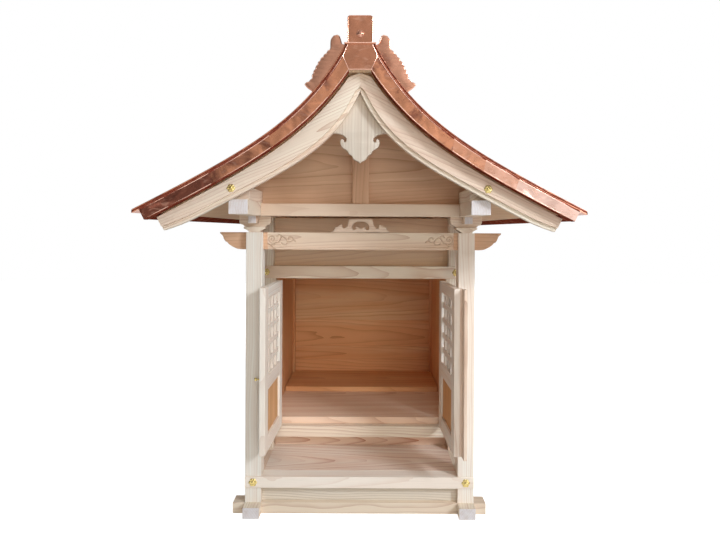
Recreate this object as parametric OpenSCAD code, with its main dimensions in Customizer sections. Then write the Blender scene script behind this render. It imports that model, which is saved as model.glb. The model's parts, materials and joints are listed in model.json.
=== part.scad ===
// Small gabled wooden shrine with a swept copper roof, a porch and two hinged lattice doors.
// Origin: middle of the footprint, on the ground. X runs left to right seen from the front,
// Y runs from the front to the back, Z is up. Millimetres.

/* [Frame] */
// Side of a square post
post_w = 40; // [34:1:50]
// Width of the building over its posts
body_w = 564; // [500:2:700]
// Depth of the building over its posts
body_d = 715; // [640:5:900]
// How far an open leaf stands past the front posts' faces
leaf_past = 55.5; // [46:0.5:64]
// Height of the front posts' tops above the ground
post_top = 693; // [670:1:760]

/* [Base] */
// Height of the ground sills
sill_h = 27; // [20:1:40]
// How far the sill ends stand out past the posts
sill_out = 30; // [10:1:60]
// Height of the recessed skirt boards
skirt_h = 37; // [25:1:60]
// Thickness of the skirt boards
skirt_t = 12; // [6:1:15]
// How far the skirt boards lie behind the posts' faces
skirt_set = 15; // [5:1:20]
// Height of the base rails
rail_h = 27.5; // [20:0.5:40]
// How far the end rails and the lintel stand out of the posts' faces
lap_proud = 3; // [1:0.5:6]
// Depth of the notch that laps a rail over a post
lap_t = 12; // [8:1:16]

/* [Floors] */
// Thickness of the porch floor
porch_floor_t = 15; // [8:1:25]
// Height of the riser board under the door sill
riser_h = 35.5; // [20:0.5:60]
// Thickness of the riser board
riser_t = 12; // [8:1:20]
// How far the riser lies behind the door sill's face
riser_set = 42; // [20:1:42]
// Height of the door sill
door_sill_h = 30; // [20:1:45]
// Depth of the door sill
door_sill_d = 54; // [54:1:70]
// Thickness of the inner floor
inner_floor_t = 18; // [10:1:25]
// How far the inner floor's edge lies behind the door sill's face
inner_floor_set = 25; // [22:1:36]
// Height of the raised step at the back
step_h = 15; // [8:1:60]
// Depth of the raised step
step_d = 226; // [120:2:300]
// Gap between the raised step and the side walls
step_gap = 2; // [1:0.5:6]

/* [Walls] */
// Thickness of the wall boards
wall_t = 14; // [8:1:18]
// How far the wall boards' inner faces lie behind the posts' inner faces
wall_set = 7; // [4:1:14]
// How far the back wall's outer face lies behind the back posts' faces
back_set = 8; // [4:1:14]
// Height of the doorway
doorway_h = 409; // [330:1:430]
// Height of the lintel
lintel_h = 34; // [24:1:50]
// Thickness of the jamb strips beside the doors
jamb_t = 6.5; // [4:0.5:12]
// Thickness of the transom panel over the lintel
transom_t = 12; // [6:1:14]
// How far the transom panel lies behind the door posts' faces
transom_set = 26; // [10:1:26]

/* [Beams] */
// Height of the carved porch beam
beam_h = 42.5; // [34:0.5:60]
// How far the carved porch beam lies behind the front posts' faces
beam_set = 15; // [12:1:20]
// Length of the carved nosings outside the posts
nosing_l = 68; // [50:1:90]
// Width of the frog-leg strut's feet
frog_w = 150; // [110:1:170]
// Height of the frog-leg strut
frog_h = 35; // [25:1:36]
// Thickness of the frog-leg strut
frog_t = 16; // [10:1:18]
// How far the frog-leg strut lies behind the porch beam's face
frog_set = 3; // [1:0.5:6]
// Height of the bracket on a front post
bracket_h = 40; // [34:1:60]
// Width of the bracket's cross arm
bracket_w = 78; // [60:1:84]
// Height of the block under a bracket's arms
block_h = 14; // [10:1:20]
// Width of that block's top
block_w = 52; // [44:1:58]
// Thickness of the cross arm
arm_w = 22; // [14:1:30]
// Width of the arm that runs from front to back
nose_w = 20; // [14:1:26]
// Height of that arm
nose_h = 18; // [12:1:22]
// How far that arm reaches behind the posts
nose_back = 14; // [5:1:30]
// Height of the purlins
purlin_h = 32; // [24:1:50]
// Width of the purlins
purlin_w = 42; // [41:1:60]
// Height of the plates on the purlins
plate_h = 28; // [16:1:40]
// How far the plates stop short of the purlins' ends
plate_short = 18; // [5:1:40]
// Height of the gable beams
gable_beam_h = 30; // [20:1:32]
// How far the gable beams stand out of the front and back posts' faces
gable_out = 28; // [10:1:40]
// How far the gable panels lie behind the gable beams' faces
gable_set = 20; // [12:1:24]
// Thickness of the gable panels
gable_t = 12; // [8:1:16]
// Width of the gable struts
strut_w = 40; // [24:1:60]
// Width of the ridge purlin
ridge_purlin_w = 40; // [24:1:44]
// Height of the ridge purlin
ridge_purlin_h = 34; // [20:1:36]

/* [Roof] */
// How far the roof reaches past the posts at the sides, to the copper edge's top
eave_out = 181; // [120:1:230]
// How far the roof reaches past the posts at the front and back
verge_out = 227; // [180:1:260]
// Fall of the roof at the eaves, as height over length
fall = 0.5; // [0.4:0.01:0.6]
// Extra height that the sweep adds at the middle
sweep = 176; // [120:1:200]
// Distance over which the sweep fades to a third
reach = 93; // [80:1:110]
// Thickness of the boards and the copper edge, square to the slope
deck_t = 25; // [18:1:35]
// Thickness of the folded copper covering
cover_t = 6; // [3:0.5:8]
// Thickness of the copper edge sheets
sheet_t = 2; // [1:0.5:3]
// Width of the copper folded under the eave
fold_w = 25; // [10:1:40]
// How far the covering stands past the copper edge at the eaves
drip_out = 14.5; // [4:0.5:25]
// How far the covering's front and back ends lie behind the copper edge
cover_set = 4; // [2:1:10]
// Half of the roof's flat top under the ridge
ridge_flat = 30; // [27:1:36]
// Gap left under the roof's boards by what they rest on
seat_gap = 0.3; // [0.1:0.1:0.5]

/* [Gable boards] */
// Thickness of the gable boards
barge_t = 20; // [12:1:24]
// How far the gable boards lie behind the roof's edge
barge_set = 22; // [10:1:40]
// Gap between the gable boards and the roof's boards, square to the slope
barge_gap = 4; // [2:0.5:8]
// How far the boards stop short of the copper edge at the eaves
barge_short = 32; // [20:1:60]
// Height from the roof's straight run down to the lower edge's
barge_drop = 73; // [68:1:80]
// Extra height of the lower edge at the middle
barge_sweep = 91; // [80:1:96]
// Distance over which the lower edge's sweep fades to a third
barge_reach = 55; // [50:1:60]
// Width of the pendant under the gable boards
pendant_w = 138; // [110:1:150]
// Height of the pendant below its shoulders
pendant_h = 61; // [50:1:70]
// How far the pendant's shoulders hang below the boards' lower edge at the middle
pendant_drop = 91; // [80:1:100]
// Thickness of the pendant
pendant_t = 12; // [8:1:20]

/* [Ridge] */
// Width of the ridge box
ridge_w = 53; // [44:1:53]
// Height of the ridge box above the roof's flat top
ridge_h = 56.5; // [40:0.5:80]
// Radius of the ridge box's upper edges
ridge_r = 6; // [2:0.5:12]
// Diameter of the boss on the ridge end
boss_d = 16; // [8:1:24]
// Distance of the side fins behind the roof's edge
fin_set = 42; // [20:1:80]
// Width of a side fin
fin_w = 93.5; // [60:0.5:110]
// Height of a side fin above the covering
fin_h = 60; // [40:1:70]
// Thickness of the side fins
fin_t = 8; // [4:0.5:12]

/* [Doors] */
// Gap round each door leaf and between the two
door_gap = 5; // [5:0.5:8]
// Thickness of a door leaf
leaf_t = 14; // [10:1:14]
// Width of a leaf's stiles and rails
stile_w = 37; // [25:1:50]
// Height of the leaf's lower panel
panel_h = 111; // [60:1:130]
// Height of the leaf's middle rail
mid_rail_h = 36; // [20:1:50]
// Height of the leaf's top rail
top_rail_h = 28; // [20:1:50]
// Thickness of the leaf's lower panel
panel_t = 4; // [3:0.5:6]
// Width of a lattice bar
bar_w = 14; // [10:1:18]
// Thickness of the lattice
lattice_t = 8; // [5:0.5:10]
// Angle to which the doors stand open
open_angle = 92; // [70:1:92]
// Width of the cover strip on the right leaf
strip_w = 40; // [30:1:50]
// How far the cover strip reaches past the right leaf's edge
strip_over = 25; // [12:1:26]
// Thickness of the cover strip
strip_t = 7.5; // [6:0.5:9]
// Diameter of a hinge barrel
barrel_d = 5.8; // [5:0.2:5.8]
// Diameter of a hinge pin
pin_d = 2.4; // [2:0.1:3]
// Height of a hinge
hinge_h = 30; // [21:1:40]
// Height of the lower hinge's middle above the leaf's lower edge
hinge_up = 26; // [22:1:50]
// Distance of the upper hinge's middle below the leaf's upper edge
hinge_down = 24; // [22:1:50]
// Distance of the hinge pins from the leaf's edge
hinge_side = 2.5; // [0:0.5:5]
// Distance of the hinge pins in front of the leaf's face
hinge_front = 3; // [3:0.1:4]
// Width of a hinge plate past the barrel
hinge_plate_w = 14; // [10:1:20]
// Thickness of a hinge plate
hinge_plate_t = 1.2; // [0.8:0.1:1.5]
// Height of the pulls above the leaf's lower edge
pull_z = 173; // [60:1:180]
// Distance of the pulls from the leaf's free edge
pull_in = 37; // [37:1:60]
// Length of a pull
pull_l = 19; // [10:1:24]
// Diameter of a pull's round plate
pull_plate_d = 13; // [10:1:16]
// Diameter of a pull's knob
pull_knob_d = 8; // [6:0.5:10]

/* [Caps] */
// Diameter of a brass cap
cap_d = 21; // [14:1:26]
// Height of a brass cap
cap_h = 6; // [4:0.5:9]
// How far the gable boards' caps lie inside the posts' outer faces
barge_cap_in = 9; // [0:1:40]

/* [Hidden] */

// Colours
CYPRESS = [0.90, 0.80, 0.68];
CYPRESS_WARM = [0.80, 0.60, 0.44];
COPPER = [0.78, 0.45, 0.34];
BRASS = [0.80, 0.64, 0.25];

$fn = 48;
far = 2000;

// Plan of the frame
side_x = body_w / 2;
post_in = side_x - post_w;
front_y = -body_d / 2;
back_y = body_d / 2;
post_mid = side_x - post_w / 2;

// Door leaves, shut at the right, and the door wall that they hang on
leaf_in = post_in - jamb_t - door_gap;
leaf_w = leaf_in - door_gap / 2;
door_y = front_y + leaf_w + hinge_side + hinge_front - leaf_past;

// Heights of the base and floors
rail_z = sill_h + skirt_h;
rail_top = rail_z + rail_h;
door_sill_z = rail_top + riser_h;
doorway_z = door_sill_z + door_sill_h;
floor_z = doorway_z + inner_floor_t;
lintel_z = doorway_z + doorway_h;
transom_z = lintel_z + lintel_h;

// Heights of the upper frame
purlin_z = post_top + bracket_h;
plate_z = purlin_z + purlin_h;
plate_top = plate_z + plate_h;
gable_z = purlin_z + gable_beam_h;

// Walls
wall_x = post_in + wall_set;
back_wall_y = back_y - back_set - wall_t;
purlin_in = post_mid - purlin_w / 2;
purlin_out = post_mid + purlin_w / 2;
packer_in = post_mid;
packer_h = 16;
arm_h = bracket_h - block_h;

// Roof curve: a straight fall with a sweep that fades away from the ridge.
function steep(x) = fall + sweep / reach * exp(-x / reach);
function slant(x) = sqrt(1 + steep(x) * steep(x));
band_t = cover_t + deck_t;
straight_z = plate_top + packer_h + band_t * slant(purlin_out)
    + fall * purlin_out - sweep * exp(-purlin_out / reach);
function roof_z(x) = straight_z - fall * x + sweep * exp(-x / reach);
eave_x = side_x + eave_out;
verge_y = body_d / 2 + verge_out;
// Half-width of the flat underside at the ridge
soffit_flat = 24;
// The eave is cut square to the slope, so a face d below the top ends this far back.
function foot_back(d) = d * fall / sqrt(1 + fall * fall);
fold_x = eave_x - foot_back(band_t) - fold_w;
// Corners across one slope that all the roof's layers share, closer together near the ridge
steps = 16;
function across(x0, x1) = [for (i = [0:steps]) x0 + (x1 - x0) * pow(i / steps, 1.5)];
function tidy(v) = round(v * 100) / 100;
grid = concat([soffit_flat], across(ridge_flat, fold_x),
    [eave_x - sheet_t - foot_back(cover_t), eave_x - foot_back(cover_t), eave_x + drip_out]);
// Height of the face that lies d below the roof's top, square to the slope
function below(x, d) = lookup(x, [for (g = grid) [g, tidy(roof_z(g) - d * slant(g))]]);
// Corners of that face from x0 to x1
function face(x0, x1, d) = concat([[x0, below(x0, d)]],
    [for (g = grid) if (g > x0 && g < x1) [g, below(g, d)]], [[x1, below(x1, d)]]);
function reversed(list) = [for (i = [len(list) - 1:-1:0]) list[i]];
flat_z = below(ridge_flat, 0);
soffit_z = below(soffit_flat, band_t);

// Gable boards' lower edge
barge_y = verge_y - barge_set;
barge_x = eave_x - barge_short;
barge_fall = fall + 0.015;
barge_slant = 14;
// The lower edge turns up a little over its last stretch.
barge_flick = 7;
barge_flick_l = 67;
function barge_low(x) = straight_z - barge_drop - barge_fall * x + barge_sweep * exp(-x / barge_reach)
    + barge_flick * pow(max(0, x - barge_x + barge_slant + barge_flick_l) / barge_flick_l, 2);

// Doors
leaf_z = doorway_z + door_gap;
leaf_h = doorway_h - 2 * door_gap;
hinge_x = leaf_in + hinge_side;
hinge_y = door_y - hinge_front;
hinge_low = leaf_z + hinge_up;
hinge_high = leaf_z + leaf_h - hinge_down;

// A box given by its corners
module block(x0, x1, y0, y1, z0, z1) {
    translate([x0, y0, z0]) cube([x1 - x0, y1 - y0, z1 - z0]);
}

// The same piece at the left and the right
module both_sides() {
    children();
    mirror([1, 0, 0]) children();
}

// The same piece at the front and the back
module both_ends() {
    children();
    mirror([0, 1, 0]) children();
}

// An even outline from the corners of its right half, in turn
module even(half) {
    polygon(concat(half, [for (p = reversed(half)) if (p[0] > 0) [-p[0], p[1]]]));
}

// An outline drawn in X and Z, made thick from y0 to y1
module upright(y0, y1) {
    translate([0, y1, 0]) rotate([90, 0, 0]) linear_extrude(y1 - y0) children();
}

// ---- Base ----

module side_sills() {
    color(CYPRESS) both_sides() difference() {
        block(post_in, side_x, front_y - sill_out, back_y + sill_out, 0, sill_h);
        both_ends() block(post_in - 1, side_x + 1, front_y, front_y + post_w, -1, sill_h / 2);
    }
}

module end_sills() {
    color(CYPRESS) both_ends() difference() {
        block(-side_x - sill_out, side_x + sill_out, front_y, front_y + post_w, 0, sill_h);
        both_sides() block(post_in, side_x, front_y - 1, front_y + post_w + 1, sill_h / 2, sill_h + 1);
    }
}

// A post with a notch at the height where a rail laps over it
module lapped_post(y0, top, lap_z, lap_h) {
    difference() {
        block(post_in, side_x, y0, y0 + post_w, sill_h, top);
        block(post_in - 1, side_x + 1, y0 - 1, y0 + lap_t, lap_z, lap_z + lap_h);
    }
}

module front_posts() {
    color(CYPRESS) both_sides() difference() {
        lapped_post(front_y, post_top, rail_z, rail_h);
        block(post_in - 1, side_x + 1, front_y + beam_set, front_y + post_w + 1,
            post_top - beam_h, post_top + 1);
    }
}

module door_posts() {
    color(CYPRESS) both_sides() lapped_post(door_y, purlin_z, lintel_z, lintel_h);
}

module back_posts() {
    color(CYPRESS) both_sides() mirror([0, 1, 0]) lapped_post(front_y, purlin_z, rail_z, rail_h);
}

// A rail between two posts with ends that lap over them
module lapped_rail(y0, z0, h) {
    block(-post_in, post_in, y0 - lap_proud, y0 + post_w, z0, z0 + h);
    block(-side_x, side_x, y0 - lap_proud, y0 + lap_t, z0, z0 + h);
}

module end_rails() {
    color(CYPRESS) both_ends() lapped_rail(front_y, rail_z, rail_h);
}

module side_rails() {
    color(CYPRESS) both_sides() {
        block(post_in, side_x, front_y + post_w, door_y, rail_z, rail_top);
        block(post_in, side_x, door_y + post_w, back_y - post_w, rail_z, rail_top);
    }
}

module skirt_boards() {
    color(CYPRESS) {
        both_ends() block(-post_in, post_in, front_y + skirt_set, front_y + skirt_set + skirt_t,
            sill_h, rail_z);
        both_sides() {
            block(side_x - skirt_set - skirt_t, side_x - skirt_set, front_y + post_w, door_y,
                sill_h, rail_z);
            block(side_x - skirt_set - skirt_t, side_x - skirt_set, door_y + post_w, back_y - post_w,
                sill_h, rail_z);
        }
    }
}

// ---- Floors ----

module porch_floor() {
    color(CYPRESS) block(-post_in, post_in, front_y + post_w, door_y + riser_set + riser_t,
        rail_top - porch_floor_t, rail_top);
}

module porch_riser() {
    color(CYPRESS) block(-post_in, post_in, door_y + riser_set, door_y + riser_set + riser_t,
        rail_top, door_sill_z);
}

module door_sill() {
    color(CYPRESS) block(-post_in, post_in, door_y, door_y + door_sill_d, door_sill_z, doorway_z);
}

// Floor board cut round the posts, between y0 and the back wall
module cut_floor(y0, half_w, z0, z1) {
    difference() {
        block(-half_w, half_w, y0, back_wall_y, z0, z1);
        both_sides() {
            block(post_in, far, -far, door_y + post_w, z0 - 1, z1 + 1);
            block(post_in, far, back_y - post_w, far, z0 - 1, z1 + 1);
        }
    }
}

module inner_floor() {
    color(CYPRESS_WARM) cut_floor(door_y + inner_floor_set, wall_x, doorway_z, floor_z);
}

module raised_step() {
    color(CYPRESS_WARM) cut_floor(back_wall_y - step_d, wall_x - step_gap, floor_z, floor_z + step_h);
}

// ---- Walls ----

module side_wall() {
    block(wall_x, wall_x + wall_t, door_y + post_w, back_y - post_w, rail_top, post_top);
}

module left_wall() {
    color(CYPRESS) mirror([1, 0, 0]) side_wall();
}

module right_wall() {
    color(CYPRESS) side_wall();
}

module back_wall() {
    color(CYPRESS) block(-post_in, post_in, back_wall_y, back_wall_y + wall_t, rail_top, post_top);
}

module head_beams() {
    color(CYPRESS) {
        both_sides() block(post_in, side_x, door_y + post_w, back_y - post_w, post_top, purlin_z);
        block(-post_in, post_in, back_y - post_w, back_y, post_top, purlin_z);
    }
}

module lintel() {
    color(CYPRESS) lapped_rail(door_y, lintel_z, lintel_h);
}

module transom_panel() {
    color(CYPRESS_WARM) block(-post_in, post_in, door_y + transom_set,
        door_y + transom_set + transom_t, transom_z, purlin_z);
}

module jamb_strips() {
    color(CYPRESS) both_sides() block(post_in - jamb_t, post_in, door_y, door_y + inner_floor_set,
        doorway_z, lintel_z);
}

// ---- Porch beam and brackets ----

// Beam in the posts' slots, with carved nosings outside the posts
module porch_beam() {
    low = post_top - beam_h;
    color(CYPRESS) upright(front_y + beam_set, front_y + post_w)
        even([[side_x + 0.2 * nosing_l, low], [side_x + 0.41 * nosing_l, low + 0.06 * beam_h],
            [side_x + 0.63 * nosing_l, low + 0.29 * beam_h], [side_x + 0.84 * nosing_l, low + 0.53 * beam_h],
            [side_x + 0.9 * nosing_l, low + 0.81 * beam_h], [side_x + nosing_l, low + 0.94 * beam_h],
            [side_x + nosing_l, post_top]]);
}

module frog_leg_outline() {
    w = frog_w / 2;
    h = frog_h;
    difference() {
        even([[w, 0], [0.86 * w, 0.26 * h], [0.84 * w, 0.38 * h], [0.72 * w, 0.46 * h],
            [0.66 * w, 0.6 * h], [0.58 * w, 0.48 * h], [0.5 * w, 0.34 * h], [0.42 * w, 0.55 * h],
            [0.38 * w, 0.85 * h], [0.35 * w, h]]);
        even([[0.19 * w, 0.25 * h], [0.27 * w, 0.42 * h], [0.2 * w, 0.7 * h], [0, 0.76 * h]]);
    }
}

module frog_leg_strut() {
    color(CYPRESS) upright(front_y + beam_set + frog_set, front_y + beam_set + frog_set + frog_t)
        translate([0, post_top]) frog_leg_outline();
}

// Block on each front post with two crossing arms on it
module front_brackets() {
    arm_y = front_y + post_w / 2;
    b = block_w / 2;
    r = bracket_w / 2;
    color(CYPRESS) both_sides() {
        upright(arm_y - arm_w / 2, arm_y + arm_w / 2) translate([post_mid, post_top])
            even([[b / 2, 0], [0.7 * b, 0.35 * block_h], [0.92 * b, 0.6 * block_h], [b, block_h],
                [0.85 * r, block_h + 0.2 * arm_h], [r, block_h + 0.42 * arm_h], [r, bracket_h]]);
        block(post_mid - nose_w / 2, post_mid + nose_w / 2, front_y - gable_out,
            front_y + post_w + nose_back, purlin_z - nose_h, purlin_z);
    }
}

// ---- Upper frame ----

purlin_end = barge_y - barge_t;

module purlins() {
    color(CYPRESS) both_sides() block(purlin_in, purlin_out, -purlin_end, purlin_end, purlin_z, plate_z);
}

// Plate with a packing strip whose top follows the roof's boards
module wall_plates() {
    plate_end = purlin_end - plate_short;
    color(CYPRESS) both_sides() upright(-plate_end, plate_end) polygon([
        [purlin_in, plate_z], [purlin_out, plate_z],
        for (p = reversed(face(packer_in, purlin_out, band_t))) p - [0, seat_gap],
        [packer_in, plate_top], [purlin_in, plate_top]]);
}

module ridge_purlin() {
    color(CYPRESS) block(-ridge_purlin_w / 2, ridge_purlin_w / 2, -purlin_end, purlin_end,
        soffit_z - ridge_purlin_h, soffit_z);
}

gable_y = body_d / 2 + gable_out;

module gable_beams() {
    color(CYPRESS) both_ends() block(-purlin_in, purlin_in, -gable_y, post_w - gable_y, purlin_z, gable_z);
}

module gable_struts() {
    color(CYPRESS) both_ends() block(-strut_w / 2, strut_w / 2, 3 - gable_y, gable_set - gable_y,
        gable_z, soffit_z - ridge_purlin_h);
}

module gable_panels() {
    side = purlin_in - seat_gap;
    shoulder = packer_in - seat_gap;
    slot_x = ridge_purlin_w / 2 + seat_gap;
    slot_z = soffit_z - ridge_purlin_h - seat_gap;
    color(CYPRESS_WARM) both_ends() upright(gable_set - gable_y, gable_set + gable_t - gable_y)
        even(concat([[side, gable_z], [side, plate_top + seat_gap], [shoulder, plate_top + seat_gap]],
            [for (p = reversed(face(soffit_flat, shoulder, band_t))) p - [0, seat_gap]],
            [[slot_x, soffit_z - seat_gap], [slot_x, slot_z]]));
}

// ---- Gable boards ----

module gable_board_outline() {
    foot_x = barge_x - barge_slant;
    top_z = soffit_z - seat_gap;
    polygon(concat([[seat_gap, barge_low(0)], [seat_gap, top_z]],
        [for (p = face(soffit_flat, barge_x, band_t + barge_gap)) [p[0], min(top_z, p[1])]],
        [for (i = [steps:-1:1]) let (x = foot_x * pow(i / steps, 1.5)) [x, barge_low(x)]]));
}

module front_gable_boards() {
    color(CYPRESS) both_sides() upright(-barge_y, barge_t - barge_y) gable_board_outline();
}

module back_gable_boards() {
    color(CYPRESS) mirror([0, 1, 0]) both_sides() upright(-barge_y, barge_t - barge_y)
        gable_board_outline();
}

module pendant_outline() {
    w = pendant_w / 2;
    h = pendant_h;
    even([[0, -h], [0.2 * w, -0.745 * h], [0.314 * w, -0.68 * h], [0.4 * w, -0.525 * h],
        [0.484 * w, -0.475 * h], [0.58 * w, -0.33 * h], [0.6 * w, -0.21 * h], [0.55 * w, -0.145 * h],
        [0.46 * w, -0.25 * h], [0.414 * w, -0.145 * h], [0.51 * w, -0.018 * h], [0.707 * w, 0.08 * h],
        [w, 0], [w, 0.2 * h], [0.2 * w, 1.45 * h]]);
}

module gable_pendants() {
    color(CYPRESS) both_ends() upright(-purlin_end, pendant_t - purlin_end)
        translate([0, barge_low(0) - pendant_drop]) pendant_outline();
}

// ---- Roof ----

// Boards of one slope: under the covering, inside the copper edge and over its fold
module boards_outline() {
    end_x = eave_x - sheet_t;
    fold_d = band_t - sheet_t;
    polygon(concat([[0, below(ridge_flat, cover_t)]],
        face(ridge_flat, end_x - foot_back(cover_t), cover_t),
        reversed(face(fold_x, end_x - foot_back(fold_d), fold_d)),
        reversed(face(soffit_flat, fold_x, band_t)), [[0, soffit_z]]));
}

module roof_boards(side) {
    mirror([side, 0, 0]) upright(sheet_t - verge_y, verge_y - sheet_t) boards_outline();
}

module roof_boards_left() {
    color(CYPRESS) roof_boards(1);
}

module roof_boards_right() {
    color(CYPRESS) roof_boards(0);
}

// Folded covering, reaching past the copper edge at the eave
module roof_copper(side) {
    end_x = eave_x + drip_out;
    mirror([side, 0, 0]) upright(cover_set - verge_y, verge_y - cover_set)
        polygon(concat([[0, flat_z]], face(ridge_flat, end_x, 0),
            reversed(face(ridge_flat, end_x, cover_t)), [[0, below(ridge_flat, cover_t)]]));
}

module roof_copper_left() {
    color(COPPER) roof_copper(1);
}

module roof_copper_right() {
    color(COPPER) roof_copper(0);
}

// Copper sheets round the boards' edges: along both gables and round the eave
module copper_edge(side) {
    mirror([side, 0, 0]) difference() {
        upright(-verge_y, verge_y)
            polygon(concat([[0, below(ridge_flat, cover_t)]],
                face(ridge_flat, eave_x - foot_back(cover_t), cover_t),
                reversed(face(soffit_flat, eave_x - foot_back(band_t), band_t)), [[0, soffit_z]]));
        upright(sheet_t - verge_y, verge_y - sheet_t) {
            boards_outline();
            translate([-1, 0]) square([1, far]);
        }
    }
}

module copper_edge_left() {
    color(COPPER) copper_edge(1);
}

module copper_edge_right() {
    color(COPPER) copper_edge(0);
}

// ---- Ridge ----

box_end = verge_y - cover_set;

// Section of the ridge box, rounded above
module ridge_section() {
    translate([0, flat_z]) {
        translate([-ridge_w / 2, 0]) square([ridge_w, ridge_h - ridge_r]);
        translate([ridge_r - ridge_w / 2, 0]) square([ridge_w - 2 * ridge_r, ridge_h]);
        for (s = [-1, 1]) translate([s * (ridge_w / 2 - ridge_r), ridge_h - ridge_r]) circle(ridge_r);
    }
}

module ridge_box() {
    color(COPPER) upright(-box_end, box_end) ridge_section();
}

// Width of the six-sided plate and of the lip over it
cap_plate_w = 74;
cap_plate_t = 1.5;
lip_w = 66;
lip_h = 4;
lip_out = 3;
boss_out = 4.5;

module ridge_ends() {
    plate_z = (soffit_z + flat_z) / 2;
    color(COPPER) both_ends() {
        upright(-verge_y - cap_plate_t, -verge_y) even([[soffit_flat, soffit_z],
            [cap_plate_w / 2, plate_z], [ridge_w / 2, flat_z - lip_h]]);
        block(-lip_w / 2, lip_w / 2, -verge_y - lip_out, -box_end, flat_z - lip_h, flat_z);
        upright(-verge_y - cap_plate_t, -box_end) ridge_section();
        translate([0, -verge_y - cap_plate_t, flat_z + 0.32 * ridge_h]) rotate([90, 0, 0])
            cylinder(h = boss_out, d = boss_d);
    }
}

// A corner of the fin's outline: u along its width, v above the covering
function fin_corner(u, v) = let (x = ridge_w / 2 + u * fin_w)
    [x, below(max(x, ridge_flat), 0) + v * fin_h];

module fin_outline() {
    foot_x = ridge_w / 2 + 0.87 * fin_w;
    polygon(concat([fin_corner(0, 0.08), fin_corner(0.08, 0.25), fin_corner(0.14, 0.6),
        fin_corner(0.18, 0.85), fin_corner(0.25, 1.06), fin_corner(0.33, 1.22), fin_corner(0.39, 1.21),
        fin_corner(0.4, 0.95), fin_corner(0.49, 0.99), fin_corner(0.56, 1.01), fin_corner(0.66, 1.02),
        fin_corner(0.73, 0.94), fin_corner(0.81, 0.84), fin_corner(0.87, 0.71), fin_corner(1, 0.77),
        fin_corner(0.94, 0.46)],
        [for (p = reversed(face(ridge_flat, foot_x, 0))) p + [0, seat_gap]],
        [[ridge_w / 2, flat_z + seat_gap]]));
}

module ridge_fins() {
    color(COPPER) both_ends() both_sides() upright(fin_set - verge_y, fin_set + fin_t - verge_y)
        fin_outline();
}

// ---- Brass caps ----

module cap(x, y, z) {
    translate([x, y, z]) rotate([90, 0, 0]) {
        cylinder(h = cap_h / 2, d = cap_d);
        cylinder(h = cap_h, d = cap_d / 2);
    }
}

module brass_caps() {
    barge_cap_x = side_x - barge_cap_in;
    barge_cap_z = (below(barge_cap_x, band_t + barge_gap) + barge_low(barge_cap_x)) / 2;
    color(BRASS) both_sides() {
        both_ends() {
            cap(post_mid, front_y - lap_proud, rail_z + rail_h / 2);
            cap(barge_cap_x, -barge_y, barge_cap_z);
        }
        cap(post_mid, door_y - lap_proud, lintel_z + lintel_h / 2);
    }
}

// ---- Doors ----

// Two hinge heights
module at_hinges() {
    for (z = [hinge_low, hinge_high]) translate([hinge_x, hinge_y, z]) children();
}

pull_plate_t = 2;
pull_knob_h = 5;
knuckle_h = hinge_h / 3;
knuckle_gap = 0.3;
plate_x = barrel_d / 2 + 2 * knuckle_gap;
running = 0.05;

// Plates and end knuckles that stay on the door posts, with the pin
module fixed_hinges() {
    color(BRASS) both_sides() at_hinges() {
        cylinder(h = hinge_h, d = pin_d, center = true);
        for (s = [-1, 1]) translate([0, 0, s * knuckle_h]) {
            cylinder(h = knuckle_h, d = barrel_d, center = true);
            translate([0, hinge_front - hinge_plate_t, -knuckle_h / 2])
                cube([plate_x + 1, hinge_plate_t, knuckle_h]);
        }
        translate([plate_x, hinge_front - hinge_plate_t, -hinge_h / 2])
            cube([hinge_plate_w - plate_x, hinge_plate_t, hinge_h]);
    }
}

// Everything of a leaf is drawn shut, at the right, and turned to where it stands open.
module leaf_open(side) {
    mirror([side, 0, 0]) translate([hinge_x, hinge_y, 0]) rotate([0, 0, open_angle])
        translate([-hinge_x, -hinge_y, 0]) children();
}

lattice_z = leaf_z + stile_w + panel_h + mid_rail_h;
lattice_h = leaf_h - stile_w - panel_h - mid_rail_h - top_rail_h;
leaf_x0 = leaf_in - leaf_w;
leaf_x1 = leaf_in;
hole_w = leaf_w - 2 * stile_w;

module door_frame(side) {
    leaf_open(side) difference() {
        block(leaf_x0, leaf_x1, door_y, door_y + leaf_t, leaf_z, leaf_z + leaf_h);
        block(leaf_x0 + stile_w, leaf_x1 - stile_w, door_y - 1, door_y + leaf_t + 1,
            leaf_z + stile_w, leaf_z + stile_w + panel_h);
        block(leaf_x0 + stile_w, leaf_x1 - stile_w, door_y - 1, door_y + leaf_t + 1,
            lattice_z, lattice_z + lattice_h);
    }
}

module left_door_frame() {
    color(CYPRESS) door_frame(1);
}

module right_door_frame() {
    color(CYPRESS) door_frame(0);
}

module door_panel(side) {
    leaf_open(side) block(leaf_x0 + stile_w, leaf_x1 - stile_w, door_y + (leaf_t - panel_t) / 2,
        door_y + (leaf_t + panel_t) / 2, leaf_z + stile_w, leaf_z + stile_w + panel_h);
}

module left_door_panel() {
    color(CYPRESS_WARM) door_panel(1);
}

module right_door_panel() {
    color(CYPRESS_WARM) door_panel(0);
}

lattice_cols = 4;
lattice_rows = 5;

// Bars of one leaf's lattice, fused where they cross
module door_lattice(side) {
    pitch_x = (hole_w + bar_w) / lattice_cols;
    pitch_z = (lattice_h + bar_w) / lattice_rows;
    y0 = door_y + (leaf_t - lattice_t) / 2;
    leaf_open(side) {
        for (i = [1:lattice_cols - 1])
            translate([leaf_x0 + stile_w + i * pitch_x - bar_w, y0, lattice_z])
                cube([bar_w, lattice_t, lattice_h]);
        for (i = [1:lattice_rows - 1])
            translate([leaf_x0 + stile_w, y0, lattice_z + i * pitch_z - bar_w])
                cube([hole_w, lattice_t, bar_w]);
    }
}

module left_door_lattice() {
    color(CYPRESS) door_lattice(1);
}

module right_door_lattice() {
    color(CYPRESS) door_lattice(0);
}

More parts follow.
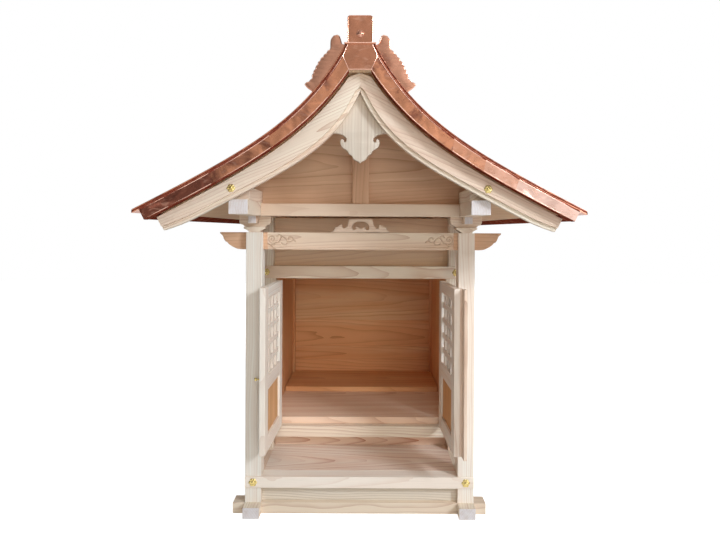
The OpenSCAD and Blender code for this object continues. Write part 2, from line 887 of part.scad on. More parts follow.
// Moving hinge plates with their middle knuckles, and the pull
module door_brass(side) {
    leaf_open(side) {
        at_hinges() difference() {
            union() {
                cylinder(h = knuckle_h - 2 * knuckle_gap, d = barrel_d, center = true);
                translate([-hinge_plate_w, hinge_front - hinge_plate_t, -hinge_h / 2])
                    cube([hinge_plate_w - plate_x, hinge_plate_t, hinge_h]);
                translate([-plate_x - 0.5, hinge_front - hinge_plate_t, knuckle_gap - knuckle_h / 2])
                    cube([plate_x + 0.5, hinge_plate_t, knuckle_h - 2 * knuckle_gap]);
            }
            cylinder(h = hinge_h + 2, d = pin_d + 2 * running, center = true);
        }
        translate([leaf_x0 + pull_in, door_y, leaf_z + pull_z]) rotate([90, 0, 0]) {
            cylinder(h = pull_plate_t, d = pull_plate_d);
            cylinder(h = pull_l - pull_knob_h / 2, d = pull_knob_d / 2);
            translate([0, 0, pull_l - pull_knob_h]) cylinder(h = pull_knob_h, d = pull_knob_d);
        }
    }
}

module left_door_brass() {
    color(BRASS) door_brass(1);
}

module right_door_brass() {
    color(BRASS) door_brass(0);
}

// Strip on the right leaf's face that covers the gap between the leaves
module cover_strip() {
    color(CYPRESS) leaf_open(0) {
        block(leaf_x0, leaf_x0 + strip_w - strip_over, door_y - strip_t, door_y, leaf_z, leaf_z + leaf_h);
        block(leaf_x0 - strip_over, leaf_x0 + 1, door_y - door_gap - strip_t, door_y - door_gap,
            leaf_z, leaf_z + leaf_h);
    }
}

side_sills();
end_sills();
front_posts();
door_posts();
back_posts();
end_rails();
side_rails();
skirt_boards();
porch_floor();
porch_riser();
door_sill();
inner_floor();
raised_step();
left_wall();
right_wall();
back_wall();
head_beams();
lintel();
transom_panel();
jamb_strips();
porch_beam();
frog_leg_strut();
front_brackets();
purlins();
wall_plates();
ridge_purlin();
gable_beams();
gable_struts();
gable_panels();
front_gable_boards();
back_gable_boards();
gable_pendants();
roof_boards_left();
roof_boards_right();
roof_copper_left();
roof_copper_right();
copper_edge_left();
copper_edge_right();
ridge_box();
ridge_ends();
ridge_fins();
brass_caps();
fixed_hinges();
left_door_frame();
left_door_panel();
left_door_lattice();
left_door_brass();
right_door_frame();
right_door_panel();
right_door_lattice();
right_door_brass();
cover_strip();
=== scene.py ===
"""Dresses a small wooden shrine: planed cypress, sheet copper, brass and carving, over its fixed frame."""
import json
import math
import random

import bmesh
import bpy
import numpy as np
from mathutils import Matrix, Vector, noise


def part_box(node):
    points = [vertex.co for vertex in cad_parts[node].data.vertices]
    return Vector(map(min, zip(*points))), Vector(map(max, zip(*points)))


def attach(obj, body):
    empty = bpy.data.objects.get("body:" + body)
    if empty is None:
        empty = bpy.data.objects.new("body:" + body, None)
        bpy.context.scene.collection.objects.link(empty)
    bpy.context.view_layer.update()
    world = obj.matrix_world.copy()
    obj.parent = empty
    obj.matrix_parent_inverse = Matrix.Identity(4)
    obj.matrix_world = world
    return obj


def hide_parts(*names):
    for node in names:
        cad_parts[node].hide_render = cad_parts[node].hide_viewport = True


bl_info = {
    "name": "Shrine dressing",
    "version": (1, 0, 0),
    "blender": (4, 5, 0),
    "location": "View3D > Sidebar > Shrine",
    "description": "Wood, copper, brass and carving for a small wooden shrine",
    "category": "Object",
}

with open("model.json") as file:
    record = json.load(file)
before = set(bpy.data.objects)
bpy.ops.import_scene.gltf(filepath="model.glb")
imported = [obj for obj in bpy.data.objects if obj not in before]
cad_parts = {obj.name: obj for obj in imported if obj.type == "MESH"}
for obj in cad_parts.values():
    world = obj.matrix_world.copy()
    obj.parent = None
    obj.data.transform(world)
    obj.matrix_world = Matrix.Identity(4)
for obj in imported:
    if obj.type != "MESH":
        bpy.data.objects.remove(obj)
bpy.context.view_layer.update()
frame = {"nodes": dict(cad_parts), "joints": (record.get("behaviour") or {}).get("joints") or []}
AXES = (Vector((1, 0, 0)), Vector((0, 1, 0)), Vector((0, 0, 1)))
DONE = {"FINISHED"}


# ---- Sizes and colours ----

def a_colour(name, description, default):
    return bpy.props.FloatVectorProperty(
        name=name, description=description, default=default, subtype="COLOR", size=3)


def a_length(name, description, default, low, high):
    return bpy.props.FloatProperty(
        name=name, description=description, default=default, min=low, max=high, unit="LENGTH")


def a_power(name, description, default):
    return bpy.props.FloatProperty(
        name=name, description=description, default=default, min=0, max=500, unit="POWER")


class ShrineWood(bpy.types.PropertyGroup):
    """Cypress of the frame, floors and panels"""
    pale: a_colour("Sapwood", "Colour of the palest wood", (0.93, 0.83, 0.67))
    warm: a_colour("Heartwood", "Colour of the pinkish wood", (0.88, 0.68, 0.53))
    line: a_colour("Year lines", "Colour of the dark lines of the grain", (0.58, 0.36, 0.24))
    year: a_length("Year ring", "Width of a year ring", 0.0062, 0.001, 0.02)
    soft_edge: a_length("Soft edge", "Width of the rounding along the timbers' edges", 0.0008, 0.0002, 0.004)


class ShrineCopper(bpy.types.PropertyGroup):
    """Sheet copper of the roof"""
    bright: a_colour("Bright copper", "Colour of clean copper", (0.53, 0.225, 0.13))
    dull: a_colour("Dull copper", "Colour of handled, darker copper", (0.25, 0.085, 0.055))
    course: a_length("Course", "Height of a course of sheets along the slope", 0.052, 0.03, 0.12)
    sheet: a_length("Sheet", "Length of a sheet along the ridge", 0.166, 0.08, 0.4)
    bead: a_length("Bead", "Radius of the folded beads along the roof's edges", 0.0012, 0.0005, 0.003)


class ShrineCarving(bpy.types.PropertyGroup):
    """Carving of the porch beam and the gable boards"""
    groove: a_length("Groove", "Depth of the carved lines", 0.0024, 0.0005, 0.003)
    groove_width: a_length("Groove width", "Half-width of the carved lines", 0.0013, 0.0005, 0.003)
    brow: a_length(
        "Brow", "Height of the stepped band along the gable boards' lower edge", 0.009, 0.004, 0.02)
    brow_depth: a_length("Brow depth", "Depth of that band's step", 0.005, 0.001, 0.006)


class ShrineStage(bpy.types.PropertyGroup):
    """Camera, lights and floor"""
    lens: bpy.props.FloatProperty(
        name="Lens", description="Focal length of the camera", default=29.75, min=15, max=120)
    roll: bpy.props.FloatProperty(
        name="Roll", description="Roll of the camera", default=math.radians(-0.27), subtype="ANGLE")
    world: bpy.props.FloatProperty(
        name="Sky", description="Strength of the even light", default=0.05, min=0, max=3)
    key: a_power("Key light", "Power of the light from the right", 65)
    top: a_power("Top light", "Power of the wide light above the front", 32)
    front: a_power("Front light", "Power of the low light from the front", 74)
    rear: a_power("Rear light", "Power of the wide light from behind on the left", 60)


# ---- Node trees ----

class Value:
    """A node's output that takes part in sums written in Python."""

    def __init__(self, tree, socket):
        self.tree = tree
        self.socket = socket

    def made(self, operation, *terms):
        return self.tree.node("ShaderNodeMath", {"operation": operation}, dict(enumerate(terms)))[0]

    __add__ = __radd__ = lambda self, other: self.made("ADD", self, other)
    __mul__ = __rmul__ = lambda self, other: self.made("MULTIPLY", self, other)
    __sub__ = lambda self, other: self.made("SUBTRACT", self, other)
    __rsub__ = lambda self, other: self.made("SUBTRACT", other, self)
    __truediv__ = lambda self, other: self.made("DIVIDE", self, other)
    __pow__ = lambda self, other: self.made("POWER", self, other)
    __mod__ = lambda self, other: self.made("MODULO", self, other)

    def fraction(self):
        return self.made("FRACT", self)

    def whole(self):
        return self.made("FLOOR", self)

    def below(self, limit):
        return self.made("LESS_THAN", self, limit)

    def between(self, low, high):
        """0 below low, 1 above high, and smooth from one to the other."""
        return self.tree.node("ShaderNodeMapRange", {"interpolation_type": "SMOOTHSTEP"},
                              {0: self, 1: low, 2: high})[0]


class Outputs:
    """A made node, whose outputs come out as values."""

    def __init__(self, tree, made):
        self.tree = tree
        self.made = made

    def __getitem__(self, key):
        return Value(self.tree, self.made.outputs[key])


class Tree:
    """Nodes of a material, the sky or a geometry modifier."""

    def __init__(self, tree):
        self.tree = tree

    def node(self, kind, settings=None, sockets=None):
        made = self.tree.nodes.new(kind)
        for key, value in (settings or {}).items():
            setattr(made, key, value)
        for key, value in (sockets or {}).items():
            if isinstance(value, Value):
                self.tree.links.new(value.socket, made.inputs[key])
            else:
                made.inputs[key].default_value = value
        return Outputs(self, made)

    def attribute(self, name, output="Fac"):
        return self.node("ShaderNodeAttribute", {"attribute_name": name})[output]

    def place(self):
        return self.node("ShaderNodeTexCoord")["Object"]

    def split(self, vector):
        parts = self.node("ShaderNodeSeparateXYZ", {}, {0: vector})
        return parts[0], parts[1], parts[2]

    def xyz(self, x=0.0, y=0.0, z=0.0):
        return self.node("ShaderNodeCombineXYZ", {}, {0: x, 1: y, 2: z})[0]

    def mixed(self, factor, first, second, blend="MIX"):
        return self.node("ShaderNodeMix", {"data_type": "RGBA", "blend_type": blend},
                         {0: factor, 6: first, 7: second})[2]

    def noise(self, vector, scale=1.0, detail=2.0, roughness=0.5, distortion=0.0):
        return self.node("ShaderNodeTexNoise", {}, {
            "Vector": vector, "Scale": scale, "Detail": detail, "Roughness": roughness,
            "Distortion": distortion})[0]


class Finish(Tree):
    """A material with a Principled shader."""

    def __init__(self, name):
        self.material = bpy.data.materials.new("shrine_" + name)
        self.material.use_nodes = True
        super().__init__(self.material.node_tree)
        self.tree.nodes.clear()

    def stretched(self, vector, x, y, z):
        return self.node("ShaderNodeVectorMath", {"operation": "MULTIPLY"}, {0: vector, 1: (x, y, z)})[0]

    def shaded(self, colour, roughness, height, distance, strength, **fixed):
        bump = self.node("ShaderNodeBump", {}, {
            "Strength": strength, "Distance": distance, "Height": height})[0]
        sockets = {"Base Color": colour, "Roughness": roughness, "Normal": bump}
        sockets.update({key.replace("_", " "): value for key, value in fixed.items()})
        shader = self.node("ShaderNodeBsdfPrincipled", {}, sockets)
        self.node("ShaderNodeOutputMaterial", {}, {"Surface": shader[0]})


def opaque(colour, share=1.0):
    """A colour as a node wants it, darkened to a share of itself."""
    return (colour[0] * share, colour[1] * share, colour[2] * share, 1.0)


def cypress(name, pale, warm, line, year, warmth, lines, taper=0.02, zone=9.0, sheen=0.32):
    """Planed cypress: year lines round the pith, zones of pinker wood, fine fibres, and painted shade where
    the 'cut' attribute marks carving.
    """
    wood = Finish(name)
    grain = wood.attribute("grain", "Vector")
    tone = wood.attribute("tone")
    along, wide, thick = wood.split(grain)
    wander = wood.noise(wood.stretched(grain, 2.2, 7, 7))
    ripple = wood.noise(wood.stretched(grain, 7, 40, 40))
    radius = (wide * wide + thick * thick) ** 0.5 + taper * along + 0.035 * (wander - 0.5)
    ring = radius / year + 0.7 * (ripple - 0.5) + tone * 7
    late = ring.fraction() ** 4
    pick = wood.node("ShaderNodeTexWhiteNoise", {"noise_dimensions": "1D"}, {"W": ring.whole()})["Value"]
    sweep = wood.node("ShaderNodeTexNoise", {"noise_dimensions": "1D"}, {
        "W": ring * 0.37, "Scale": 1.0, "Detail": 1.0})[0]
    band = sweep.between(0.38, 0.66)
    mark = late * (0.2 + 0.8 * pick)
    fibre = wood.noise(wood.stretched(grain, 14, 700, 700), roughness=0.6)
    pores = wood.noise(wood.stretched(grain, 45, 1500, 1500), detail=1)
    zones = wood.noise(wood.stretched(grain, 1.3, zone, zone), detail=3, roughness=0.55)
    pink = (zones + 0.35 * (tone - 0.5)).between(0.55 - warmth, 0.8 - warmth)
    colour = wood.mixed(pink * 0.8 + band * 0.2, opaque(pale), opaque(warm))
    colour = wood.mixed((mark * 0.85 + 0.15 * band) * lines, colour, opaque(line))
    shade = 0.9 + 0.14 * fibre + 0.1 * (tone - 0.5) + 0.06 * (pores - 0.5)
    light = wood.node("ShaderNodeCombineColor", {}, {0: shade, 1: shade, 2: shade})[0]
    colour = wood.mixed(1.0, colour, light, "MULTIPLY")
    # Painted shade: the 'cut' attribute darkens the wood towards a deep year-line colour in carved grooves
    # and along sleeve cuts.
    colour = wood.mixed(wood.attribute("cut") * 0.55, colour, opaque(line, 0.75))
    wood.shaded(colour, 0.5 + 0.14 * fibre + 0.06 * mark, 0.6 * fibre + 0.5 * mark + 0.3 * pores, 0.0003, 0.5,
                Specular_IOR_Level=sheen)


def end_paint(name, colour):
    """Chalky paint on end grain, thin enough for the rings to show."""
    paint = Finish(name)
    place = paint.place()
    _, wide, thick = paint.split(paint.attribute("grain", "Vector"))
    radius = (wide * wide + thick * thick) ** 0.5
    ring = (radius / 0.0034 + paint.noise(place, 90)).fraction() ** 3
    cloud = paint.noise(place, 60, 4, 0.6)
    thin = ring * 0.75 + cloud.between(0.4, 0.75) * 0.45
    colours = paint.mixed(thin, opaque(colour), (0.60, 0.50, 0.44, 1.0))
    paint.shaded(colours, 0.72 + 0.1 * cloud, ring * 0.5 + cloud, 0.0003, 0.4, Specular_IOR_Level=0.2)


def copper(name, bright, dull, dark, wave):
    """Sheet copper: slightly buckled, with smears and darker tints from handling and heat, and a painted
    reflection that turns sheets of negative tone a pale pinkish white.
    """
    sheet = Finish(name)
    place = sheet.place()
    tone = sheet.attribute("tone")
    tint = sheet.noise(place, 11, 4, 0.62, 1.4)
    smear = sheet.noise(sheet.stretched(place, 1, 1, 2.2), 38, 4, 0.65, 0.8)
    speck = sheet.noise(place, 420, 2, 0.6)
    buckle = sheet.noise(place, 16, 2, 0.45, 0.5)
    amount = (tint + 0.3 * (smear - 0.5) + 0.55 * (tone - 0.5)).between(0.66 - dark, 0.9 - dark)
    colour = sheet.mixed(amount, opaque(bright), opaque(dull))
    streak = (smear + 0.5 * (tint - 0.5)).between(0.56, 0.7)
    colour = sheet.mixed(streak * 0.3, colour, (0.88, 0.50, 0.36, 1.0))
    # Painted reflection: a negative tone mixes in pale pinkish white, standing in for the key light's glare.
    clean = (0.0 - tone) * (0.75 + 0.5 * smear)
    colour = sheet.mixed(clean.between(0.0, 1.0), colour, (0.90, 0.70, 0.62, 1.0))
    sheet.shaded(colour, 0.16 + 0.2 * smear + 0.06 * speck, buckle * wave + 0.05 * smear, 0.004, 0.8,
                 Metallic=1.0)


def oxide_and_shade(name, colour):
    """Copper gone dark red on the folded, hidden faces, and painted shade: it is laid on undersides, hems and
    the folds under edges, where shade falls.
    """
    skin = Finish(name)
    cloud = skin.noise(skin.place(), 60, 4, 0.6)
    colours = skin.mixed(cloud.between(0.45, 0.75), opaque(colour), (0.42, 0.15, 0.09, 1.0))
    skin.shaded(colours, 0.7 + 0.2 * cloud, cloud, 0.0004, 0.4, Specular_IOR_Level=0.0)


def brass(name):
    """Polished yellow brass with faint rubbing marks."""
    metal = Finish(name)
    place = metal.place()
    cloud = metal.noise(place, 160, 3, 0.6)
    rub = metal.noise(metal.stretched(place, 1, 1, 5), 700)
    colour = metal.mixed(cloud.between(0.4, 0.75), (0.72, 0.58, 0.24, 1), (0.36, 0.25, 0.08, 1))
    metal.shaded(colour, 0.18 + 0.2 * rub, cloud + 0.3 * rub, 0.0003, 0.3, Metallic=1.0)


# ---- Making pieces ----

def cad_mesh(node):
    """The frame's own shape of a node, as one clean mesh to work on."""
    shape = bmesh.new()
    shape.from_mesh(frame["nodes"][node].data)
    bmesh.ops.remove_doubles(shape, verts=shape.verts, dist=1e-5)
    bmesh.ops.dissolve_limit(shape, angle_limit=math.radians(1), verts=shape.verts, edges=shape.edges)
    return shape


def solids(shape):
    """The vertices of each separate solid of a mesh."""
    seen = set()
    for start in list(shape.verts):
        if start in seen:
            continue
        group, reached = [], [start]
        seen.add(start)
        while reached:
            vert = reached.pop()
            group.append(vert)
            for edge in vert.link_edges:
                other = edge.other_vert(vert)
                if other not in seen:
                    seen.add(other)
                    reached.append(other)
        yield group


def lay_grain(shape, seed, cut="post", along=None, tint=(0.5, 1.0)):
    """Gives each solid its own run of grain, along an axis, along three given lanes or along its length.

    The pith lies off to one side, as the cut has it. The tint is the middle and the spread of the tones.
    """
    chance = random.Random(seed)
    grain = shape.verts.layers.float_vector.get("grain") or shape.verts.layers.float_vector.new("grain")
    tone = shape.verts.layers.float.get("tone") or shape.verts.layers.float.new("tone")

    def aside(low, high, more=0.0):
        return chance.choice((-1, 1)) * (more + chance.uniform(low, high))

    for group in solids(shape):
        places = np.array([vert.co for vert in group])
        order = [int(i) for i in np.argsort(places.min(0) - places.max(0))]
        middle = Vector((places.max(0) + places.min(0)) / 2)
        if isinstance(along, int):
            order = [along] + [i for i in order if i != along]
        lanes = along if isinstance(along, list) else [AXES[i] for i in order]
        width = max(abs((vert.co - middle).dot(lanes[1])) for vert in group)
        if cut == "board":
            pith = chance.uniform(-0.35, 0.35) * width, aside(0.012, 0.03)
        elif cut == "quarter":
            pith = aside(0.03, 0.12, width), chance.uniform(-0.02, 0.02)
        else:
            pith = aside(0.05, 0.12), aside(0.03, 0.08)
        start = chance.uniform(-3, 3)
        share = tint[0] + tint[1] * (chance.random() - 0.5)
        for vert in group:
            off = vert.co - middle
            vert[grain] = [off.dot(lane) + shift for lane, shift in zip(lanes, (start, -pith[0], -pith[1]))]
            vert[tone] = share
    return shape


def grained(node, seed, cut="post", along=None):
    """A node's own shape with its grain laid."""
    return lay_grain(cad_mesh(node), seed, cut, along)


def outward(shape):
    """Turns all faces of a closed mesh outwards."""
    bmesh.ops.recalc_face_normals(shape, faces=shape.faces)
    return shape


def paint(shape, where=None):
    """Puts the second material on every face, or on those where a test holds."""
    shape.normal_update()
    for face in shape.faces:
        if where is None or where(face):
            face.material_index = 1
    return shape


def as_mesh(shape, name):
    """Puts a shape in a mesh of its own and frees it."""
    mesh = bpy.data.meshes.new(name)
    shape.to_mesh(mesh)
    shape.free()
    return mesh


def piece(shape, name, node, materials, slot="cypress", soft=None, body="building", smooth=True):
    """Turns a mesh into a finished piece that rides on a body and stands for its node."""
    shape.normal_update()
    mesh = as_mesh(shape, name)
    made = bpy.data.objects.new(name, mesh)
    bpy.context.scene.collection.objects.link(made)
    for material in materials:
        mesh.materials.append(bpy.data.materials["shrine_" + material])
    if soft:
        bevel = made.modifiers.new("Soft edges", "BEVEL")
        bevel.width = soft
        bevel.segments = 2
        bevel.limit_method = "ANGLE"
        bevel.angle_limit = math.radians(28)
        bevel.use_clamp_overlap = True
        bevel.harden_normals = False
    if smooth:
        for face in mesh.polygons:
            face.use_smooth = True
        mesh.set_sharp_from_angle(angle=math.radians(32))
    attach(made, body)
    if node:
        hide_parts(node)


def cut_through(shape, place, square):
    """Cuts a mesh along a plane and keeps both sides; returns the new edges."""
    made = bmesh.ops.bisect_plane(shape, geom=shape.verts[:] + shape.edges[:] + shape.faces[:], dist=1e-6,
                                  plane_co=place, plane_no=square)
    return [e for e in made["geom_cut"] if isinstance(e, bmesh.types.BMEdge)]


def close_holes(shape):
    bmesh.ops.holes_fill(shape, edges=[e for e in shape.edges if e.is_boundary], sides=0)


def timber(node, seed, finish="cypress", cut="post", along=None, ends=None, slot="cypress", body="building",
           joints=()):
    """A node of squared timbers with softened edges and its own grain, sawn into planks at the joints."""
    shape = cad_mesh(node)
    for level in joints:
        bmesh.ops.split_edges(shape, edges=cut_through(shape, (0, 0, level), AXES[2]))
        close_holes(shape)
        outward(shape)
    lay_grain(shape, seed, cut, along)
    if ends is not None:
        paint(shape, lambda face: abs(face.normal[ends]) > 0.95)
    materials = [finish] if ends is None else [finish, "end_paint"]
    piece(shape, node + "_wood", node, materials, slot, bpy.context.scene.shrine_wood.soft_edge, body)


def add_box(shape, low, high):
    """Adds a box between two corners."""
    low, high = Vector(low), Vector(high)
    bmesh.ops.create_cube(shape, size=1.0, matrix=Matrix.Translation((low + high) / 2)
                          @ Matrix.Diagonal((*(high - low), 1)))


def smooth_loop(points, corners=(), steps=6):
    """A closed outline that runs smoothly through its points and turns sharply at its corners."""
    count = len(points)
    flat = [Vector(p) for p in points]
    out = []
    for i in range(count):
        before, here, there, after = (flat[(i + k) % count] for k in (-1, 0, 1, 2))
        sharp_here, sharp_there = i in corners, (i + 1) % count in corners
        leave = (there - here) if sharp_here else (there - before) / 2
        arrive = (there - here) if sharp_there else (after - here) / 2
        reach = (there - here).length
        for tangent in (leave, arrive):
            if tangent.length > reach * 1.2:
                tangent *= reach * 1.2 / tangent.length
        for k in range(1 if sharp_here and sharp_there else steps):
            t = k / steps
            out.append((2 * t**3 - 3 * t**2 + 1) * here + (t**3 - 2 * t**2 + t) * leave
                       + (3 * t**2 - 2 * t**3) * there + (t**3 - t**2) * arrive)
    return out


def mirrored(half, corners=()):
    """A whole outline and its corners from the right half's points, listed upwards or downwards."""
    back = [(-x, z) for x, z in reversed(half) if x > 1e-9]
    first = len(half) - 1
    open_end = half[-1][0] > 1e-9
    return list(half) + back, set(corners) | {2 * first + open_end - i for i in corners if half[i][0] > 1e-9}


def symmetric(half, corners, wide, tall, foot, middle=0.0):
    """A smooth outline from its right half, scaled across and up, above a foot and about a middle."""
    points, sharp = mirrored([(x * wide, foot + z * tall) for x, z in half], corners)
    return smooth_loop([(x + middle, z) for x, z in points], sharp)


def plate(loops, y0, y1, edge):
    """A mesh of an upright plate: outlines in X and Z, holes among them, from y0 to y1, edges rounded."""
    data = bpy.data.curves.new("outline", "CURVE")
    data.dimensions = "2D"
    data.fill_mode = "BOTH"
    for loop in loops:
        spline = data.splines.new("POLY")
        spline.points.add(len(loop) - 1)
        for point, place in zip(spline.points, loop):
            point.co = (place[0], place[1], 0, 1)
        spline.use_cyclic_u = True
    data.offset = -edge
    data.bevel_depth = edge
    data.bevel_resolution = 2
    data.extrude = (y1 - y0) / 2 - edge
    holder = bpy.data.objects.new("outline", data)
    shape = made_plain(holder)
    bpy.data.curves.remove(data)
    shape.transform(Matrix.Translation((0, (y0 + y1) / 2, 0)) @ Matrix.Rotation(math.radians(90), 4, "X"))
    bmesh.ops.remove_doubles(shape, verts=shape.verts, dist=1e-6)
    return outward(shape)


def made_plain(holder):
    """The finished mesh of an object with its modifiers run; the object itself goes."""
    bpy.context.scene.collection.objects.link(holder)
    graph = bpy.context.evaluated_depsgraph_get()
    mesh = bpy.data.meshes.new_from_object(holder.evaluated_get(graph))
    holder.modifiers.clear()
    bpy.data.objects.remove(holder)
    shape = bmesh.new()
    shape.from_mesh(mesh)
    bpy.data.meshes.remove(mesh)
    return shape


def joined(shapes):
    """Several meshes as one."""
    whole = bmesh.new()
    for part in shapes:
        mesh = as_mesh(part, "part")
        whole.from_mesh(mesh)
        bpy.data.meshes.remove(mesh)
    return whole


def flipped(shape, axis=0):
    """A mirrored copy of a mesh, with its faces still outwards."""
    twin = shape.copy()
    scale = Vector((1, 1, 1))
    scale[axis] = -1
    twin.transform(Matrix.Diagonal((*scale, 1)))
    bmesh.ops.reverse_faces(twin, faces=twin.faces)
    return twin


def profile(node, pick):
    """Corners of a roof layer's upper (max) or lower (min) face in X and Z, right of the ridge."""
    heights = {}
    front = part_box(node)[0].y + 1e-4
    for vert in frame["nodes"][node].data.vertices:
        if vert.co.y <= front:
            x = round(abs(vert.co.x), 5)
            heights[x] = pick(heights.get(x, vert.co.z), vert.co.z)
    return sorted(heights.items())


def even_run(points, step, count=None):
    """A smooth run of points about a step apart, or of so many, with the length so far at each."""
    flat = [Vector(p) for p in points]
    fine = []
    for i in range(len(flat) - 1):
        before, here, there, after = (flat[min(max(i + k, 0), len(flat) - 1)] for k in (-1, 0, 1, 2))
        bend = 2 * before - 5 * here + 4 * there - after
        twist = 3 * here - before - 3 * there + after
        for t in (k / 8 for k in range(8)):
            fine.append(0.5 * (2 * here + (there - before) * t + bend * t**2 + twist * t**3))
    fine.append(flat[-1])
    lengths = np.concatenate([[0], np.cumsum([(b - a).length for a, b in zip(fine, fine[1:])])])
    count = count or max(2, int(round(lengths[-1] / step)) + 1)
    at = np.linspace(0, lengths[-1], count)
    return list(zip(*(np.interp(at, lengths, [p[k] for p in fine]) for k in (0, 1)))), at


def lowered(points, depths):
    """A line of corners moved in square to it, by one depth or by a depth for each."""
    if not isinstance(depths, list):
        depths = [depths] * len(points)
    out = []
    for i, ((x, z), depth) in enumerate(zip(points, depths)):
        x0, z0 = points[max(i - 1, 0)]
        x1, z1 = points[min(i + 1, len(points) - 1)]
        run = Vector((x1 - x0, z1 - z0)).normalized()
        out.append((x + run.y * depth, z - run.x * depth))
    return out


def skin(shape, rows, around=False):
    """Faces between neighbouring rows of vertices, and round each row where it closes."""
    made = []
    for a, b in zip(rows, rows[1:]):
        for i in range(len(a) if around else len(a) - 1):
            k = (i + 1) % len(a)
            made.append(shape.faces.new((a[i], a[k], b[k], b[i])))
    return made


def slab(top, low, y0, y1):
    """A layer of the roof between an upper and a lower line, closed all round."""
    shape = bmesh.new()
    near, far = ([shape.verts.new((x, y, z)) for x, z in list(top) + list(reversed(low))] for y in (y0, y1))
    skin(shape, (near, far), True)
    for side in (near, far):
        shape.faces.new(side)
    return outward(shape)


def arch(side, foot, top, radius):
    """A round-shouldered outline: up from the foot on the right, over the top and down on the left."""
    half = [(side, foot)]
    for i in range(7):
        turn = i / 6 * math.pi / 2
        half.append((side - radius + radius * math.cos(turn), top - radius + radius * math.sin(turn)))
    return mirrored(half)[0]


# ---- Geometry Nodes ----

class Maker(Tree):
    """A geometry tree with named inputs, run once on a mesh and made plain."""

    def __init__(self, name, **values):
        self.group = bpy.data.node_groups.new(name, "GeometryNodeTree")
        super().__init__(self.group)
        interface = self.group.interface
        for way in ("INPUT", "OUTPUT"):
            interface.new_socket("Geometry", in_out=way, socket_type="NodeSocketGeometry")
        self.settings = {}
        for key, value in values.items():
            kind = "NodeSocketInt" if isinstance(value, int) else "NodeSocketFloat"
            socket = interface.new_socket(key.replace("_", " "), in_out="INPUT", socket_type=kind)
            self.settings[socket.identifier] = value
        entry = self.node("NodeGroupInput")
        self.start = entry[0]
        self.sizes = [entry[key.replace("_", " ")] for key in values]

    def geo(self, kind, **sockets):
        """A geometry node by its kind, with its sockets by name."""
        named = {key.replace("_", " "): value for key, value in sockets.items()}
        return self.node("GeometryNode" + kind, {}, named)[0]

    def line(self, count, first, step):
        return self.geo("MeshLine", Count=count, Start_Location=first, Offset=step)

    def on(self, points, instance, **sockets):
        return self.geo("InstanceOnPoints", Points=points, Instance=instance, **sockets)

    def merged(self, parts):
        join = self.node("GeometryNodeJoinGeometry")
        for part in parts:
            self.tree.links.new(part.socket, join.made.inputs[0])
        return join[0]

    def run(self, geometry, material, mesh):
        """Ends the tree, runs it on a mesh and returns the result as a mesh to work on."""
        done = self.geo("SetMaterial", Geometry=self.geo("RealizeInstances", Geometry=geometry),
                        Material=bpy.data.materials["shrine_" + material])
        self.node("NodeGroupOutput", {}, {0: done})
        holder = bpy.data.objects.new("holder", mesh)
        modifier = holder.modifiers.new("Maker", "NODES")
        modifier.node_group = self.group
        for identifier, value in self.settings.items():
            modifier[identifier] = value
        shape = made_plain(holder)
        bpy.data.meshes.remove(mesh)
        bpy.data.node_groups.remove(self.group)
        bmesh.ops.remove_doubles(shape, verts=shape.verts, dist=1e-7)
        for face in shape.faces:
            face.material_index = 0
        return shape


def drawn(places, edges=()):
    """A mesh of points, with or without edges between them."""
    mesh = bpy.data.meshes.new("drawn")
    mesh.from_pydata([tuple(p) for p in places], edges, [])
    return mesh


def beads(lines, radius, mirror=False):
    """A thin round bead of folded copper along each line, and at choice along its mirror image."""
    maker = Maker("Beads", Radius=radius)
    places, edges = [], []
    for line in lines:
        edges += [(len(places) + i, len(places) + i + 1) for i in range(len(line) - 1)]
        places += line
    path = maker.geo("MeshToCurve", Mesh=maker.start)
    ring = maker.geo("CurvePrimitiveCircle", Resolution=8, Radius=maker.sizes[0])
    sweep = maker.geo("CurveToMesh", Curve=path, Profile_Curve=ring, Fill_Caps=True)
    shape = maker.run(sweep, "copper_fold", drawn(places, edges))
    return joined([shape, flipped(shape)]) if mirror else shape


# ---- Operators: one for each piece or group of like pieces ----

